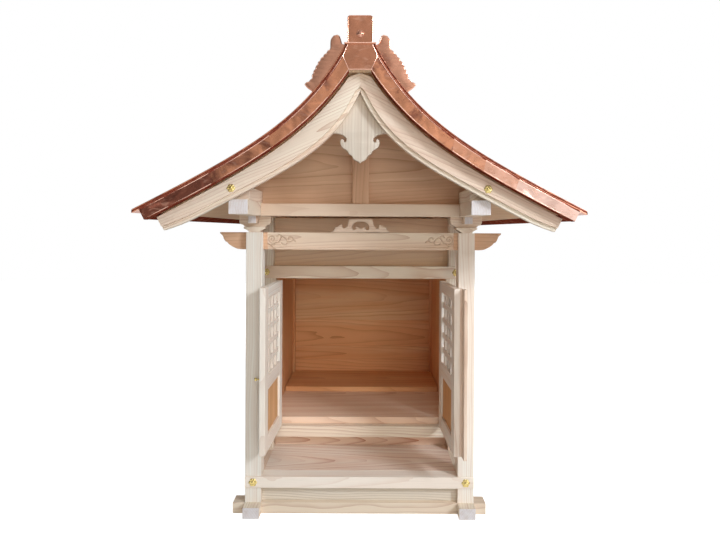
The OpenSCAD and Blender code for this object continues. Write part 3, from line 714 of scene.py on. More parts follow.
# Sapwood, heartwood, year lines, ring width as a share, warmth, strength of the lines, and at choice
# the taper of the trunk, the fineness of the zones and the sheen.
WOODS = {
    "cypress_pale": ((0.98, 0.935, 0.835), (0.96, 0.85, 0.73), (0.70, 0.50, 0.36), 1, 0.12, 0.9),
    "cypress_lintel": ((0.99, 0.87, 0.70), (0.97, 0.78, 0.60), (0.66, 0.42, 0.27), 1, 0.14, 0.9),
    "cypress_skirt": ((0.79, 0.75, 0.66), (0.76, 0.68, 0.56), (0.44, 0.34, 0.25), 1, 0.12, 1.1),
    "cypress_carved": ((0.78, 0.69, 0.57), (0.73, 0.59, 0.46), (0.50, 0.36, 0.26), 1, 0.12, 1.0),
    "cypress_beam": ((0.87, 0.75, 0.59), (0.83, 0.63, 0.47), (0.55, 0.34, 0.22), 1, 0.14, 1.0),
    "cypress_panel": ((0.82, 0.58, 0.39), (0.74, 0.46, 0.29), (0.44, 0.22, 0.12), 1.3, 0.3, 0.75, 0.05),
    "cypress_transom": ((0.98, 0.73, 0.50), (0.90, 0.60, 0.39), (0.60, 0.32, 0.18), 1.5, 0.3, 0.75, 0.06),
    "cypress_floor": ((0.99, 0.88, 0.75), (0.96, 0.72, 0.56), (0.50, 0.18, 0.10), 1.3, 0.28, 1.0, 0.09, 6.0),
    "cypress_deck": ((0.98, 0.84, 0.70), (0.94, 0.68, 0.50), (0.56, 0.28, 0.16), 1.5, 0.28, 0.8, 0.06),
    # The room's wood: a deep orange, partly a warmer heartwood and partly painted warm shade of the room.
    "cypress_inside": ((0.99, 0.68, 0.39), (0.91, 0.48, 0.23), (0.50, 0.19, 0.07), 1.8, 0.3, 0.7, 0.05),
    "cypress_door": ((0.88, 0.52, 0.26), (0.70, 0.36, 0.15), (0.42, 0.18, 0.07), 1, 0.3, 0.8, 0.08),
    "cypress_under": ((0.95, 0.76, 0.52), (0.88, 0.62, 0.40), (0.60, 0.34, 0.18), 1.3, 0.3, 0.7, 0.05, 9.0,
                      0.03),
}


class SHRINE_OT_finishes(bpy.types.Operator):
    """Mix the finishes: cypress, painted end grain, copper and brass"""
    bl_idname = "shrine.finishes"
    bl_label = "Finishes"

    def execute(self, context):
        wood = context.scene.shrine_wood
        metal = context.scene.shrine_copper
        cypress("cypress", wood.pale, wood.warm, wood.line, wood.year, 0.14, 1.0)
        for name, (pale, warm, line, share, *rest) in WOODS.items():
            cypress(name, pale, warm, line, wood.year * share, *rest)
        end_paint("end_paint", (0.80, 0.77, 0.77))
        copper("copper", metal.bright, metal.dull, 0.22, 1.0)
        copper("copper_fin", (0.64, 0.31, 0.20), (0.34, 0.13, 0.085), 0.25, 1.6)
        copper("copper_edge", (0.71, 0.305, 0.168), metal.dull, 0.32, 2.0)
        # Painted highlight: beads, rims and bosses take this paler pinkish copper, brighter than the sheets
        # as if catching the light.
        copper("copper_fold", (0.84, 0.52, 0.40), (0.50, 0.24, 0.16), 0.2, 0.6)
        # Painted shade as well as patina: dark red copper on hidden faces, undersides, sheet hems and the
        # folds under edges.
        oxide_and_shade("copper_dark", (0.22, 0.045, 0.025))
        brass("brass")
        return DONE


class SHRINE_OT_base(bpy.types.Operator):
    """Dress the sills, rails and skirt boards"""
    bl_idname = "shrine.base"
    bl_label = "Base"

    def execute(self, context):
        timber("side_sills", 11, ends=1)
        timber("end_sills", 12, "cypress_beam", along=0)
        timber("end_rails", 13, "cypress_pale", "quarter", 0)
        timber("side_rails", 14, cut="quarter", along=1)
        timber("skirt_boards", 15, "cypress_skirt", "quarter", 0)
        return DONE


class SHRINE_OT_posts(bpy.types.Operator):
    """Dress the posts and head beams"""
    bl_idname = "shrine.posts"
    bl_label = "Posts"

    def execute(self, context):
        timber("front_posts", 21, "cypress_pale", "quarter", 2)
        timber("door_posts", 22, cut="quarter", along=2)
        self.back_posts(context.scene.shrine_wood.soft_edge)
        timber("head_beams", 24, cut="quarter")
        return DONE

    def back_posts(self, soft):
        """The back posts, with painted shade: where they show inside the room, they take the room's deeper
        orange wood.
        """
        shape = grained("back_posts", 23, "quarter", 2)
        wall = (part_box("right_wall")[0].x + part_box("right_wall")[1].x) / 2
        end = (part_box("back_wall")[0].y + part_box("back_wall")[1].y) / 2
        for place, square in (((wall, 0, 0), AXES[0]), ((-wall, 0, 0), AXES[0]), ((0, end, 0), AXES[1])):
            cut_through(shape, place, square)

        def inside(face):
            spot = face.calc_center_median()
            inward = face.normal.y < -0.9 or face.normal.x * spot.x < -0.9 * abs(spot.x)
            return inward and abs(spot.x) < wall and spot.y < end

        # Painted shade: faces inside the room take the room's deeper orange wood.
        paint(shape, inside)
        piece(shape, "back_posts_wood", "back_posts", ["cypress", "cypress_inside"], soft=soft)


class SHRINE_OT_floors(bpy.types.Operator):
    """Dress the porch floor, the sill under the doors and the floor inside"""
    bl_idname = "shrine.floors"
    bl_label = "Floors"

    def execute(self, context):
        timber("porch_floor", 31, "cypress_floor", "board", 0)
        timber("porch_riser", 32, "cypress_floor", "board", 0)
        timber("door_sill", 33, "cypress", "board", 0)
        timber("inner_floor", 34, "cypress_deck", "board", 0, slot="cypress_warm")
        timber("raised_step", 35, "cypress_inside", "board", 0, slot="cypress_warm")
        return DONE


class SHRINE_OT_walls(bpy.types.Operator):
    """Dress the walls, lintel, transom panel and jamb strips"""
    bl_idname = "shrine.walls"
    bl_label = "Walls"

    def execute(self, context):
        timber("left_wall", 41, "cypress_inside", "board", 2)
        timber("right_wall", 42, "cypress_inside", "board", 2)
        timber("back_wall", 43, "cypress_inside", "board", 0, joints=(0.232, 0.279, 0.373, 0.52))
        timber("lintel", 44, "cypress_lintel", "quarter", 0)
        timber("transom_panel", 45, "cypress_transom", "board", 0, slot="cypress_warm")
        timber("jamb_strips", 46, cut="quarter", along=2)
        return DONE


def carved_lines():
    """The vine carved at the beam's right end, in millimetres from the middle and the beam's foot."""
    stem = [(163, 20), (169, 23), (176, 19), (183, 20), (189, 28), (196, 31), (202, 25), (206, 18), (213, 17)]
    leaves = [[(202, 25), (199, 33), (205, 36), (209, 32)], [(183, 20), (186, 13), (193, 12), (198, 16)],
              [(169, 23), (172, 30), (179, 31), (181, 27)], [(213, 17), (218, 11), (226, 10), (231, 14)]]
    spacing = 0.8
    lines = [even_run(line, spacing)[0] for line in [stem] + leaves]
    x, z, turns, first, last, points = 221, 26, 1.6, 11.5, 1.5, 40
    for i in range(points + 1):
        turn = math.radians(228) + turns * 2 * math.pi * i / points
        size = first + (last - first) * (i / points) ** 0.8
        lines[0].append((x + size * math.cos(turn), z + size * math.sin(turn)))
    return lines


class SHRINE_OT_porch_beam(bpy.types.Operator):
    """Carve the porch beam: vines, sleeve cuts, a lip along its foot and ogee nosings"""
    bl_idname = "shrine.porch_beam"
    bl_label = "Porch beam"

    def execute(self, context):
        low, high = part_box("porch_beam")
        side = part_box("front_posts")[1].x
        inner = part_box("end_rails")[1].x - 0.04
        tuck = 0.01
        half = [(side + x * (high.x - side), low.z + z * (high.z - low.z)) for x, z in (
            (0.18, 0), (0.36, 0.03), (0.52, 0.14), (0.66, 0.28), (0.74, 0.42), (0.80, 0.46), (0.86, 0.6),
            (0.91, 0.8), (1, 0.93), (1, 1))]
        half += [(inner - tuck, high.z), (inner - tuck, low.z)]
        nose = plate([smooth_loop(half, {0, 4, 5, 8, 9, 10, 11})], low.y, high.y, 0.0009)
        # Painted shade: the nosings take the darker panel wood (the second material), standing in for the
        # eave's shadow on them.
        paint(lay_grain(nose, 51, "quarter", 0))
        middle = lay_grain(self.carved(context.scene.shrine_carving, low, high, inner), 52, "board", 0)
        piece(joined([nose, flipped(nose), middle]), "porch_beam_carved", "porch_beam",
              ["cypress_beam", "cypress_panel"])
        return DONE

    def carved(self, carving, low, high, inner):
        """The beam between the posts, its face a fine grid pressed in at the vines, sleeve cuts and lip, with
        painted shade in the grooves and along the sleeve cuts' edge.
        """
        vines = [np.array([(x / 1000, z / 1000 + low.z) for x, z in line]) for line in carved_lines()]
        vine_width, step, rows_up = 0.085, 0.0008, 52
        lip_height, lip_depth, lip_round = 0.0062, 0.0016, 0.0009
        cut_x, cut_z, cut_depth, cut_shade_width = inner - 0.031, 0.024, 0.0045, 0.0016
        cut_edge, cut_round = 0.0008, 0.0012
        fine = [inner - i * step for i in range(int(vine_width / step) + 1)]
        xs = sorted([-x for x in fine] + [-0.12, -0.06, 0.0, 0.06, 0.12] + fine)
        zs = [low.z + (high.z - low.z) * i / rows_up for i in range(rows_up + 1)]
        shape = bmesh.new()
        # The 'cut' attribute holds painted shade, which the cypress finish turns dark.
        cut = shape.verts.layers.float.new("cut")
        rows = []
        for z in zs:
            rows.append([])
            up = z - low.z
            for x in xs:
                back = lip_depth * min(1, max(0, (up - lip_height) / lip_round))
                slope = (abs(x) - cut_x) / (inner - cut_x) * cut_z - up
                # Painted shade: a dark line along the sleeve cut's edge.
                shade = max(0, 1 - abs(slope) / cut_shade_width)
                if slope > -cut_edge:
                    back = max(back, cut_depth * min(1, (slope + cut_edge) / cut_round))
                elif abs(x) > inner - vine_width:
                    near = min(np.min(np.sum((vine - (abs(x), z)) ** 2, axis=1)) for vine in vines) ** 0.5
                    press = math.exp(-(near / carving.groove_width) ** 2)
                    # Painted shade in the pressed groove.
                    shade = max(shade, 0.7 * press)
                    back += carving.groove * press
                vert = shape.verts.new((x, low.y + back, z))
                vert[cut] = shade
                rows[-1].append(vert)
        skin(shape, rows)
        bl, br, tl, tr = (shape.verts.new((x, high.y, z)) for z in (zs[0], zs[-1]) for x in (xs[0], xs[-1]))
        for rim in ([bl, br] + rows[0][::-1], [tr, tl] + rows[-1], [tl, bl] + [row[0] for row in rows],
                    [br, tr] + [row[-1] for row in rows[::-1]], [bl, tl, tr, br]):
            shape.faces.new(rim)
        return outward(shape)


class SHRINE_OT_frog_leg(bpy.types.Operator):
    """Cut the frog-leg strut with its pierced leaf"""
    bl_idname = "shrine.frog_leg"
    bl_label = "Frog-leg strut"

    def execute(self, context):
        low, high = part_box("frog_leg_strut")
        outline = ([(75, 0), (68, 5), (64.5, 9.5), (64, 13.5), (59, 14), (56, 16.5), (51, 19.5), (46.5, 19),
                    (45.5, 15), (44.5, 11), (39, 11), (34, 16), (30.5, 27), (28, 33.5), (22, 35)], {0, 4, 9})
        leaf = ([(0, 10), (5, 12.5), (11.5, 15), (12, 10.5), (14, 7), (19, 7.5), (21, 14), (17, 23),
                 (8.5, 27.5), (0, 28)], {0, 2, 4})
        loops = [symmetric(half, corners, high.x / 75, (high.z - low.z) / 35, low.z)
                 for half, corners in (outline, leaf)]
        shape = lay_grain(plate(loops, low.y, high.y, 0.0011), 53, "quarter", 0)
        piece(shape, "frog_leg_carved", "frog_leg_strut", ["cypress"])
        return DONE


class SHRINE_OT_brackets(bpy.types.Operator):
    """Shape the blocks and crossing arms on the front posts"""
    bl_idname = "shrine.brackets"
    bl_label = "Brackets"

    def execute(self, context):
        low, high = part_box("front_brackets")
        post_low, post_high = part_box("front_posts")
        middle = (post_high.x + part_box("porch_riser")[1].x) / 2
        arm_y = post_low.y + 0.02
        edge, half_width, nose_height = 0.0007, 0.01, 0.018
        block = ([(13, 0), (15.5, 0.0035), (20, 0.0065), (25, 0.009), (26, 0.0095), (26, 0.014)],
                 {0, 3, 4, 5})
        arm = ([(24, 0.0142), (27, 0.0155), (29.5, 0.0185), (33, 0.0192), (36, 0.0205), (38.6, 0.0245),
                (39, 0.0262), (39, 0.04)], {0, 2, 3, 6, 7})
        parts = []
        for (half, corners), half_y in ((block, 0.02), (arm, 0.011)):
            loop = symmetric(half, corners, (high.x - middle) / 39, 1, low.z, middle)
            part = lay_grain(plate([loop], arm_y - half_y, arm_y + half_y, edge), 54, "quarter", 0)
            parts += [part, flipped(part)]
        for side in (-1, 1):
            nose = bmesh.new()
            add_box(nose, (side * middle - half_width, low.y, high.z - nose_height),
                    (side * middle + half_width, high.y, high.z))
            bmesh.ops.bevel(nose, geom=nose.edges, offset=edge, segments=2, affect="EDGES", profile=0.5)
            parts.append(paint(lay_grain(nose, 55 + side, "quarter", 1), lambda face: face.normal.y < -0.95))
        piece(joined(parts), "front_brackets_carved", "front_brackets", ["cypress", "end_paint"])
        return DONE


class SHRINE_OT_upper_frame(bpy.types.Operator):
    """Dress the purlins, plates, gable beams, struts and panels"""
    bl_idname = "shrine.upper_frame"
    bl_label = "Upper frame"

    def execute(self, context):
        timber("purlins", 61, cut="quarter", along=1, ends=1)
        timber("wall_plates", 62, cut="quarter", along=1)
        timber("ridge_purlin", 63, cut="quarter", along=1)
        timber("gable_beams", 64, "cypress_beam", "quarter", 0)
        timber("gable_struts", 65, "cypress_panel", "quarter", 2)
        timber("gable_panels", 66, "cypress_panel", "board", 0, slot="cypress_warm")
        return DONE


def front_outline(node):
    """The outline of a node's largest face that looks to the front, at the right, in X and Z."""
    shape = cad_mesh(node)
    shape.normal_update()
    faces = [f for f in shape.faces if f.normal.y < -0.99 and f.calc_center_median().x > 0]
    loop = [(v.co.x, v.co.z) for v in max(faces, key=lambda f: f.calc_area()).verts]
    shape.free()
    return loop


class SHRINE_OT_gable_boards(bpy.types.Operator):
    """Shape the curved gable boards, with the stepped brow along their lower edge"""
    bl_idname = "shrine.gable_boards"
    bl_label = "Gable boards"

    def execute(self, context):
        carving = context.scene.shrine_carving
        low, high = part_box("front_gable_boards")
        edge, brow, top = self.lines(carving.brow)
        inset, pitch = 0.0004, 0.47
        along = [Vector((1, 0, -pitch)).normalized(), Vector((pitch, 0, 1)).normalized(), AXES[1]]
        mirror = [Vector((-v.x, v.y, v.z)) for v in along]
        for node, seed in (("front_gable_boards", 71), ("back_gable_boards", 75)):
            right = joined([plate([brow + top[::-1]], low.y, high.y, 0.0005),
                            plate([edge + brow[::-1]], low.y + carving.brow_depth, high.y, 0.0007)])
            right.transform(Matrix.Translation((-inset, 0, 0)))
            lay_grain(right, seed, "board", along)
            both = joined([right, lay_grain(flipped(right), seed + 1, "board", mirror)])
            piece(both if "front" in node else flipped(both, 1), node + "_shaped", node, ["cypress"])
        return DONE

    def lines(self, height):
        """The right board's lower edge, the brow's line above it and the upper edge, from the middle out."""
        loop = front_outline("front_gable_boards")
        hair, edge_spacing, top_spacing, peak_rise = 0.001, 0.007, 0.01, 0.005
        count = len(loop)
        lowest = min(range(count), key=lambda i: loop[i][1])
        start = min((i for i in range(count) if loop[i][0] < hair), key=lambda i: loop[i][1])
        ahead = [loop[(start + i) % count] for i in range((lowest - start) % count + 1)]
        behind = [loop[(start - i) % count] for i in range((start - lowest) % count + 1)]
        edge, other = sorted((ahead, behind), key=lambda way: way[1][1])
        edge, _ = even_run(edge, edge_spacing)
        top = [other[1]] + even_run(other[2:-1], top_spacing)[0]
        brow = [(max(x, edge[0][0]), z) for x, z in lowered(edge, -height)]
        foot, corner = Vector(edge[-1]), Vector(top[-1])
        brow[-1] = tuple(foot + (corner - foot) * height / (corner - foot).length)
        brow[0] = (edge[0][0], brow[0][1] + peak_rise)
        return edge, brow, top


class SHRINE_OT_pendants(bpy.types.Operator):
    """Carve the pendants under the gable boards' peaks"""
    bl_idname = "shrine.pendants"
    bl_label = "Pendants"

    def execute(self, context):
        low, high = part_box("gable_pendants")
        half = [(0, 0), (4, 3.6), (8.8, 5.6), (14.2, 9.6), (17.6, 15.6), (24, 20), (27.4, 26.6), (33, 30.4),
                (39, 34.6), (42, 42), (41.4, 48.6), (38.2, 51.6), (35, 50), (34.6, 46), (31.6, 44.6),
                (28.8, 48.4), (29.8, 54), (35.8, 59.4), (43.6, 62.6), (52.4, 64.4), (62.4, 63), (69, 59.8),
                (69, 73), (40, 110), (14, 149)]
        loop = symmetric(half, {0, 3, 5, 7, 21, 22, 24}, high.x / 69, 0.001, low.z)
        depth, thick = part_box("ridge_purlin")[0].y, 0.012
        front = lay_grain(plate([loop], depth, depth + thick, 0.001), 81, "quarter", 2)
        back = lay_grain(flipped(front, 1), 82, "quarter", 2)
        piece(joined([front, back]), "gable_pendants_carved", "gable_pendants", ["cypress_carved"])
        return DONE


class SHRINE_OT_roof_boards(bpy.types.Operator):
    """Dress the boards under the copper"""
    bl_idname = "shrine.roof_boards"
    bl_label = "Roof boards"

    def execute(self, context):
        eave_width = 0.036
        for node, seed in (("roof_boards_left", 91), ("roof_boards_right", 92)):
            shape = grained(node, seed, "board", 1)
            eave = max(abs(vert.co.x) for vert in shape.verts) - eave_width
            # Painted shade, partly hidden copper: the outer strip of the boards under the side eaves takes
            # the dark copper.
            paint(shape, lambda face: abs(face.calc_center_median().x) > eave and abs(face.normal.y) < 0.5)
            piece(shape, node + "_wood", node, ["cypress_under", "copper_dark"],
                  soft=context.scene.shrine_wood.soft_edge)
        return DONE


class SHRINE_OT_covering(bpy.types.Operator):
    """Lay the copper covering: a folded slab, lapped courses of sheets and their standing seams"""
    bl_idname = "shrine.covering"
    bl_label = "Copper covering"

    def execute(self, context):
        metal = context.scene.shrine_copper
        low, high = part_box("roof_copper_right")
        spacing, sheets_depth, eave_depth, hair = 0.012, 0.0016, 0.0032, 0.0001
        top, under = (even_run(profile("roof_copper_right", pick)[1:], spacing)[0] for pick in (max, min))
        sunk = lowered(top, sheets_depth)
        base = slab([(0, sunk[0][1])] + sunk, [(0, under[0][1])] + under, low.y, high.y)
        # Painted shade: the covering slab's set-back ends and its eave end take the dark copper.
        paint(base, lambda face: abs(face.normal.y) > 0.9 or face.calc_center_median().x > high.x - hair)
        slope = even_run(sunk, spacing)[1][-1]
        courses = self.courses(metal, sunk, int(round(slope / metal.course)), high.y - low.y - 0.001)
        for vert in courses.verts:
            vert.co.x = min(vert.co.x, high.x)
        right = joined([base, courses])
        for side, shape, seed in (("right", right, 101), ("left", flipped(right), 102)):
            lay_grain(shape, seed, "post", 1, (0.5, 0.3))
            piece(shape, f"roof_copper_{side}_sheets", "roof_copper_" + side, ["copper", "copper_dark"],
                  "copper", smooth=False)
        edges, turn_from, turn_in, turn_up = [], 0.004, 0.002, 0.0008
        for y in (low.y, high.y):
            for line, inset in ((top, 0.8), (under, -0.4)):
                line = [(x, y, z) for x, z in lowered(line, metal.bead * inset)]
                corner = (high.x - turn_in, y, line[-1][2] + turn_up)
                edges.append([p for p in line if p[0] < high.x - turn_from] + [corner])
        eave = lowered(top, eave_depth)[-1][1]
        edges.append([(high.x - metal.bead, y, eave) for y in (low.y, high.y)])
        both = lay_grain(beads(edges, metal.bead, True), 103, "post", 0)
        piece(both, "covering_beads", None, ["copper"], "copper")
        return DONE

    def courses(self, metal, line, rows, long):
        """Lapped sheets on every course of the slope, with ribs over their staggered joints."""
        starts, at = even_run(line, 0, rows + 1)
        maker = Maker("Courses", Course=float(at[1]), Length=long, Sheet=metal.sheet, Lift=0.0011, Rows=rows)
        course, length, sheet, lift, last = maker.sizes
        here = maker.node("GeometryNodeInputPosition")[0]
        index = maker.node("GeometryNodeInputIndex")[0]
        there = maker.node("GeometryNodeFieldAtIndex", {"data_type": "FLOAT_VECTOR"}, {
            "Index": index + 1.0, "Value": here})[0]
        chord = maker.node("ShaderNodeVectorMath", {"operation": "SUBTRACT"}, {0: there, 1: here})[0]
        aim = maker.node("FunctionNodeAlignRotationToVector", {"axis": "X", "pivot_axis": "Y"}, {
            "Vector": chord})[0]
        used = index.below(last)
        lap, sheet_thick, rib_gap, rib_wide, rib_thick = 0.002, 0.0005, 0.003, 0.007, 0.0014
        shift = maker.xyz(course / 2 - lap / 2, 0.0, lift / 2)
        tilt = maker.xyz(0.0, 0.0 - lift / course)
        boxes = (maker.geo("MeshCube", Size=size) for size in (
            maker.xyz(course + lap, length, sheet_thick), maker.xyz(course - rib_gap, rib_wide, rib_thick)))
        strip, rib = (maker.geo("Transform", Geometry=box, Translation=shift, Rotation=tilt) for box in boxes)
        count = (length / sheet - 0.6).whole()
        parts = [maker.on(maker.start, strip, Rotation=aim, Selection=used)]
        parity = index % 2.0
        for odd, wanted in ((0.0, (1.0 - parity) * used), (0.5, parity * used)):
            first = maker.xyz(0.0, sheet * odd - count * sheet / 2)
            ribs = maker.on(maker.line(count + (1.0 - 2 * odd), first, maker.xyz(0.0, sheet)), rib)
            parts.append(maker.on(maker.start, ribs, Rotation=aim, Selection=wanted))
        return maker.run(maker.merged(parts), "copper", drawn([(x, 0.0, z) for x, z in starts]))


class SHRINE_OT_copper_edges(bpy.types.Operator):
    """Fold the copper round the roof's edges: lapped sheets, standing seams and a beaded lower edge"""
    bl_idname = "shrine.copper_edges"
    bl_label = "Copper edges"

    def execute(self, context):
        bead = context.scene.shrine_copper.bead
        low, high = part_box("copper_edge_right")
        spacing, top_from, bottom_from, corner = 0.005, 0.029, 0.023, (0.008, 0.001)
        top = [(x, z) for x, z in profile("copper_edge_right", max) if x > top_from and z > low.z + corner[1]]
        top, _ = even_run(top, spacing)
        bottom = [(x, z) for x, z in profile("copper_edge_right", min)
                  if bottom_from < x < high.x - corner[0]]
        bottom, _ = even_run(bottom, spacing, len(top))
        # Where one sheet laps over the next on each side, and how bright or dark each sheet is: partly each
        # sheet's own tone, partly painted reflection, the negative tones on the right turning pale as the key
        # light's glare.
        laps = {1: (0.196, 0.262, 0.332), -1: (0.070, 0.187, 0.315, 0.405)}
        tones = {1: (0.35, -0.18, -0.34, -0.58), -1: (0.2, 0.25, 0.42, 0.8, 0.92)}
        # Painted shade: faces looking down or inward take the dark copper.
        base = paint(grained("copper_edge_right", 111, "post", 1),
                     lambda face: face.normal.z < -0.4 or face.normal.x < -0.4)
        hair, fold_width, fold_thick = 0.0001, 0.0212, 0.0008
        for y0, y1 in ((low.y + hair, low.y + fold_width), (high.y - fold_width, high.y - hair)):
            # Painted shadow: the fold under the lower edge is all dark copper, a dark line below the bead.
            fold = lay_grain(slab(bottom, lowered(bottom, fold_thick), y0, y1), 112, "post", 1)
            base = joined([base, paint(fold)])
        seams, seam_out, bead_out = [], 0.0006, 0.0002
        for side, shapes, name in ((1, [base], "copper_edge_right"),
                                   (-1, [flipped(base)], "copper_edge_left")):
            stops = [min(i for i, (x, _) in enumerate(top) if x >= lap) for lap in laps[side]]
            stops = [0] + stops + [len(top) - 1]
            for end in (-1, 1):
                for k, tint in enumerate(tones[side]):
                    first, mark = max(0, stops[k] - 1), k * 4 + side + 2 * end
                    span = slice(first, stops[k + 1] + 1)
                    sheet = self.sheet(top[span], bottom[span], side, low.y * -end, mark)
                    shapes.append(lay_grain(sheet, 1000 + mark, "post", 0, (tint, 0)))
                    if k:
                        y = (low.y - seam_out) * -end
                        seams.append([(side * x, y, z) for x, z in (top[first], bottom[first])])
            piece(joined(shapes), name + "_sheets", name, ["copper_edge", "copper_dark"], "copper")
        lines = []
        for y in (low.y - bead_out, -low.y + bead_out):
            for line, rise in ((bottom, 0.001), (top, -0.0034)):
                lines.append([(x, y, z + rise) for x, z in line])
        # The beads along the edges and seams wear the paler copper of painted highlight.
        both = joined([beads(lines, bead * 0.8, True), beads(seams, bead * 0.45)])
        piece(lay_grain(both, 133, "post", 0), "edge_beads", None, ["copper_fold"], "copper")
        return DONE

    def sheet(self, top, bottom, side, face, seed):
        """One thin sheet on the roof's end, a little buckled, whose lower end laps over the next."""
        rows, least, swell = 7, 0.0003, 0.0006
        away = 1 if face > 0 else -1
        made = bmesh.new()
        near, far = [], []
        for j in range(rows + 1):
            t = j / rows
            near.append([])
            far.append([])
            for n, (a, b) in enumerate(zip(top, bottom)):
                u = n / (len(top) - 1)
                x, z = a[0] + (b[0] - a[0]) * t, a[1] + (b[1] - a[1]) * t
                wave = noise.noise((x * 22, seed * 3.1, z * 22)) + 0.4 * noise.noise((x * 70, seed, z * 70))
                out = swell + swell * u + swell * wave * math.sin(math.pi * t) * math.sin(math.pi * u)
                near[-1].append(made.verts.new((side * x, face + away * max(out, least), z)))
                far[-1].append(made.verts.new((side * x, face - away * least, z)))
        # Painted shadow: the top row of each sheet takes the dark copper, under the covering's edge.
        for shaded_hem in skin(made, near)[:len(top) - 1]:
            shaded_hem.material_index = 1
        skin(made, far)
        skin(made, [grid[0] + [row[-1] for row in grid[1:]] + grid[-1][-2::-1]
                    + [row[0] for row in grid[-2:0:-1]] for grid in (near, far)], True)
        return outward(made)


class SHRINE_OT_ridge(bpy.types.Operator):
    """Fold the ridge box with its seams, its ends and their bosses"""
    bl_idname = "shrine.ridge"
    bl_label = "Ridge"

    def execute(self, context):
        low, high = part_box("ridge_box")
        shape = cad_mesh("ridge_box")
        sunk, proud, plate_out, plate_back = 0.0008, 0.0007, 0.0015, 0.0025
        foot_edge, rim_in, rim_down = 0.001, 0.0016, 0.001
        for vert in shape.verts:
            if vert.co.z > low.z + foot_edge:
                vert.co.z -= sunk
        lay_grain(shape, 141, "post", 1)
        seams = lay_grain(self.seams(low, high, high.x + proud), 142, "post", 0)
        piece(joined([shape, seams]), "ridge_box_sheets", "ridge_box", ["copper"], "copper", 0.0006)
        front = -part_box("copper_edge_right")[1].y - plate_out
        ends = grained("ridge_ends", 143, "post", 0)
        bosses = [v for v in ends.verts if abs(v.co.y) > plate_back - front]
        bmesh.ops.delete(ends, geom=bosses, context="VERTS")
        close_holes(ends)
        bmesh.ops.dissolve_limit(ends, angle_limit=math.radians(1), verts=ends.verts, edges=ends.edges)
        boss = self.boss(front, low.z + 0.32 * (high.z - low.z), 0.008)
        piece(joined([ends, boss, flipped(boss, 1)]), "ridge_ends_sheets", "ridge_ends",
              ["copper", "copper_fold"], "copper", 0.0005)
        bead = context.scene.shrine_copper.bead * 0.8
        self.rims(front, high.x + proud - rim_in, low.z, high.z - rim_down, bead)
        return DONE

    def seams(self, low, high, side):
        """Raised bands over the ridge, evenly along it."""
        maker = Maker("Ridge seams", Length=high.y - low.y, Gap=0.19)
        length, gap = maker.sizes
        count = (length / gap).whole()
        row = maker.line(count, maker.xyz(0.0, 0.0 - (count - 1.0) * gap / 2), maker.xyz(0.0, gap))
        outer = arch(side, low.z, high.z, 0.0062)
        inner = [(x * 0.97, low.z + (z - low.z) * 0.99) for x, z in outer]
        wide = 0.003
        band = bmesh.new()
        rings = [[band.verts.new((x, y, z)) for x, z in line]
                 for y, line in ((-wide, outer), (wide, outer), (wide, inner), (-wide, inner))]
        skin(band, rings + rings[:1])
        for k in (0, -1):
            band.faces.new([ring[k] for ring in rings])
        return maker.run(maker.on(row, maker.start), "copper", as_mesh(outward(band), "band"))

    def boss(self, front, height, radius):
        """The round boss on the ridge's front end: a rim, a groove and a dome."""
        sides, dome, foot, rise = 24, radius * 0.7, 0.0022, 0.0023
        outline = [(radius, 0.0), (radius, 0.0012), (radius * 0.86, 0.002), (radius * 0.78, 0.0014),
                   (dome, foot)]
        outline += [(dome * math.cos(a * math.pi / 12), foot + rise * math.sin(a * math.pi / 12))
                    for a in range(1, 6)]
        made = bmesh.new()
        rings = []
        for reach, out in outline:
            circle = []
            for turn in (i / sides * 2 * math.pi for i in range(sides)):
                place = reach * math.cos(turn), front - out, height + reach * math.sin(turn)
                circle.append(made.verts.new(place))
            rings.append(circle)
        skin(made, rings, True)
        for ring in (rings[-1], rings[0]):
            made.faces.new(ring)
        # The boss takes the second material: the paler copper of painted highlight.
        return paint(lay_grain(outward(made), 144, "post", 0))

    def rims(self, front, side, foot, top, bead):
        """Folded rims of the ridge's ends, of the lip under them and of the six-sided plate."""
        hexagon, _ = mirrored([(0.0258, foot - 0.0045), (0.0362, foot - 0.0285), (0.0235, foot - 0.056)])
        lip = [(-0.032, foot - 0.001), (0.032, foot - 0.001)]
        lines = [[(x, (front - proud) * sign, z) for x, z in line] for sign in (1, -1)
                 for line, proud in ((arch(side, foot, top, 0.005), 0), (hexagon, 0), (lip, 0.0015))]
        # The rims wear the paler copper of painted highlight.
        piece(lay_grain(beads(lines, bead), 145, "post", 0), "ridge_rims", None, ["copper_fold"], "copper")


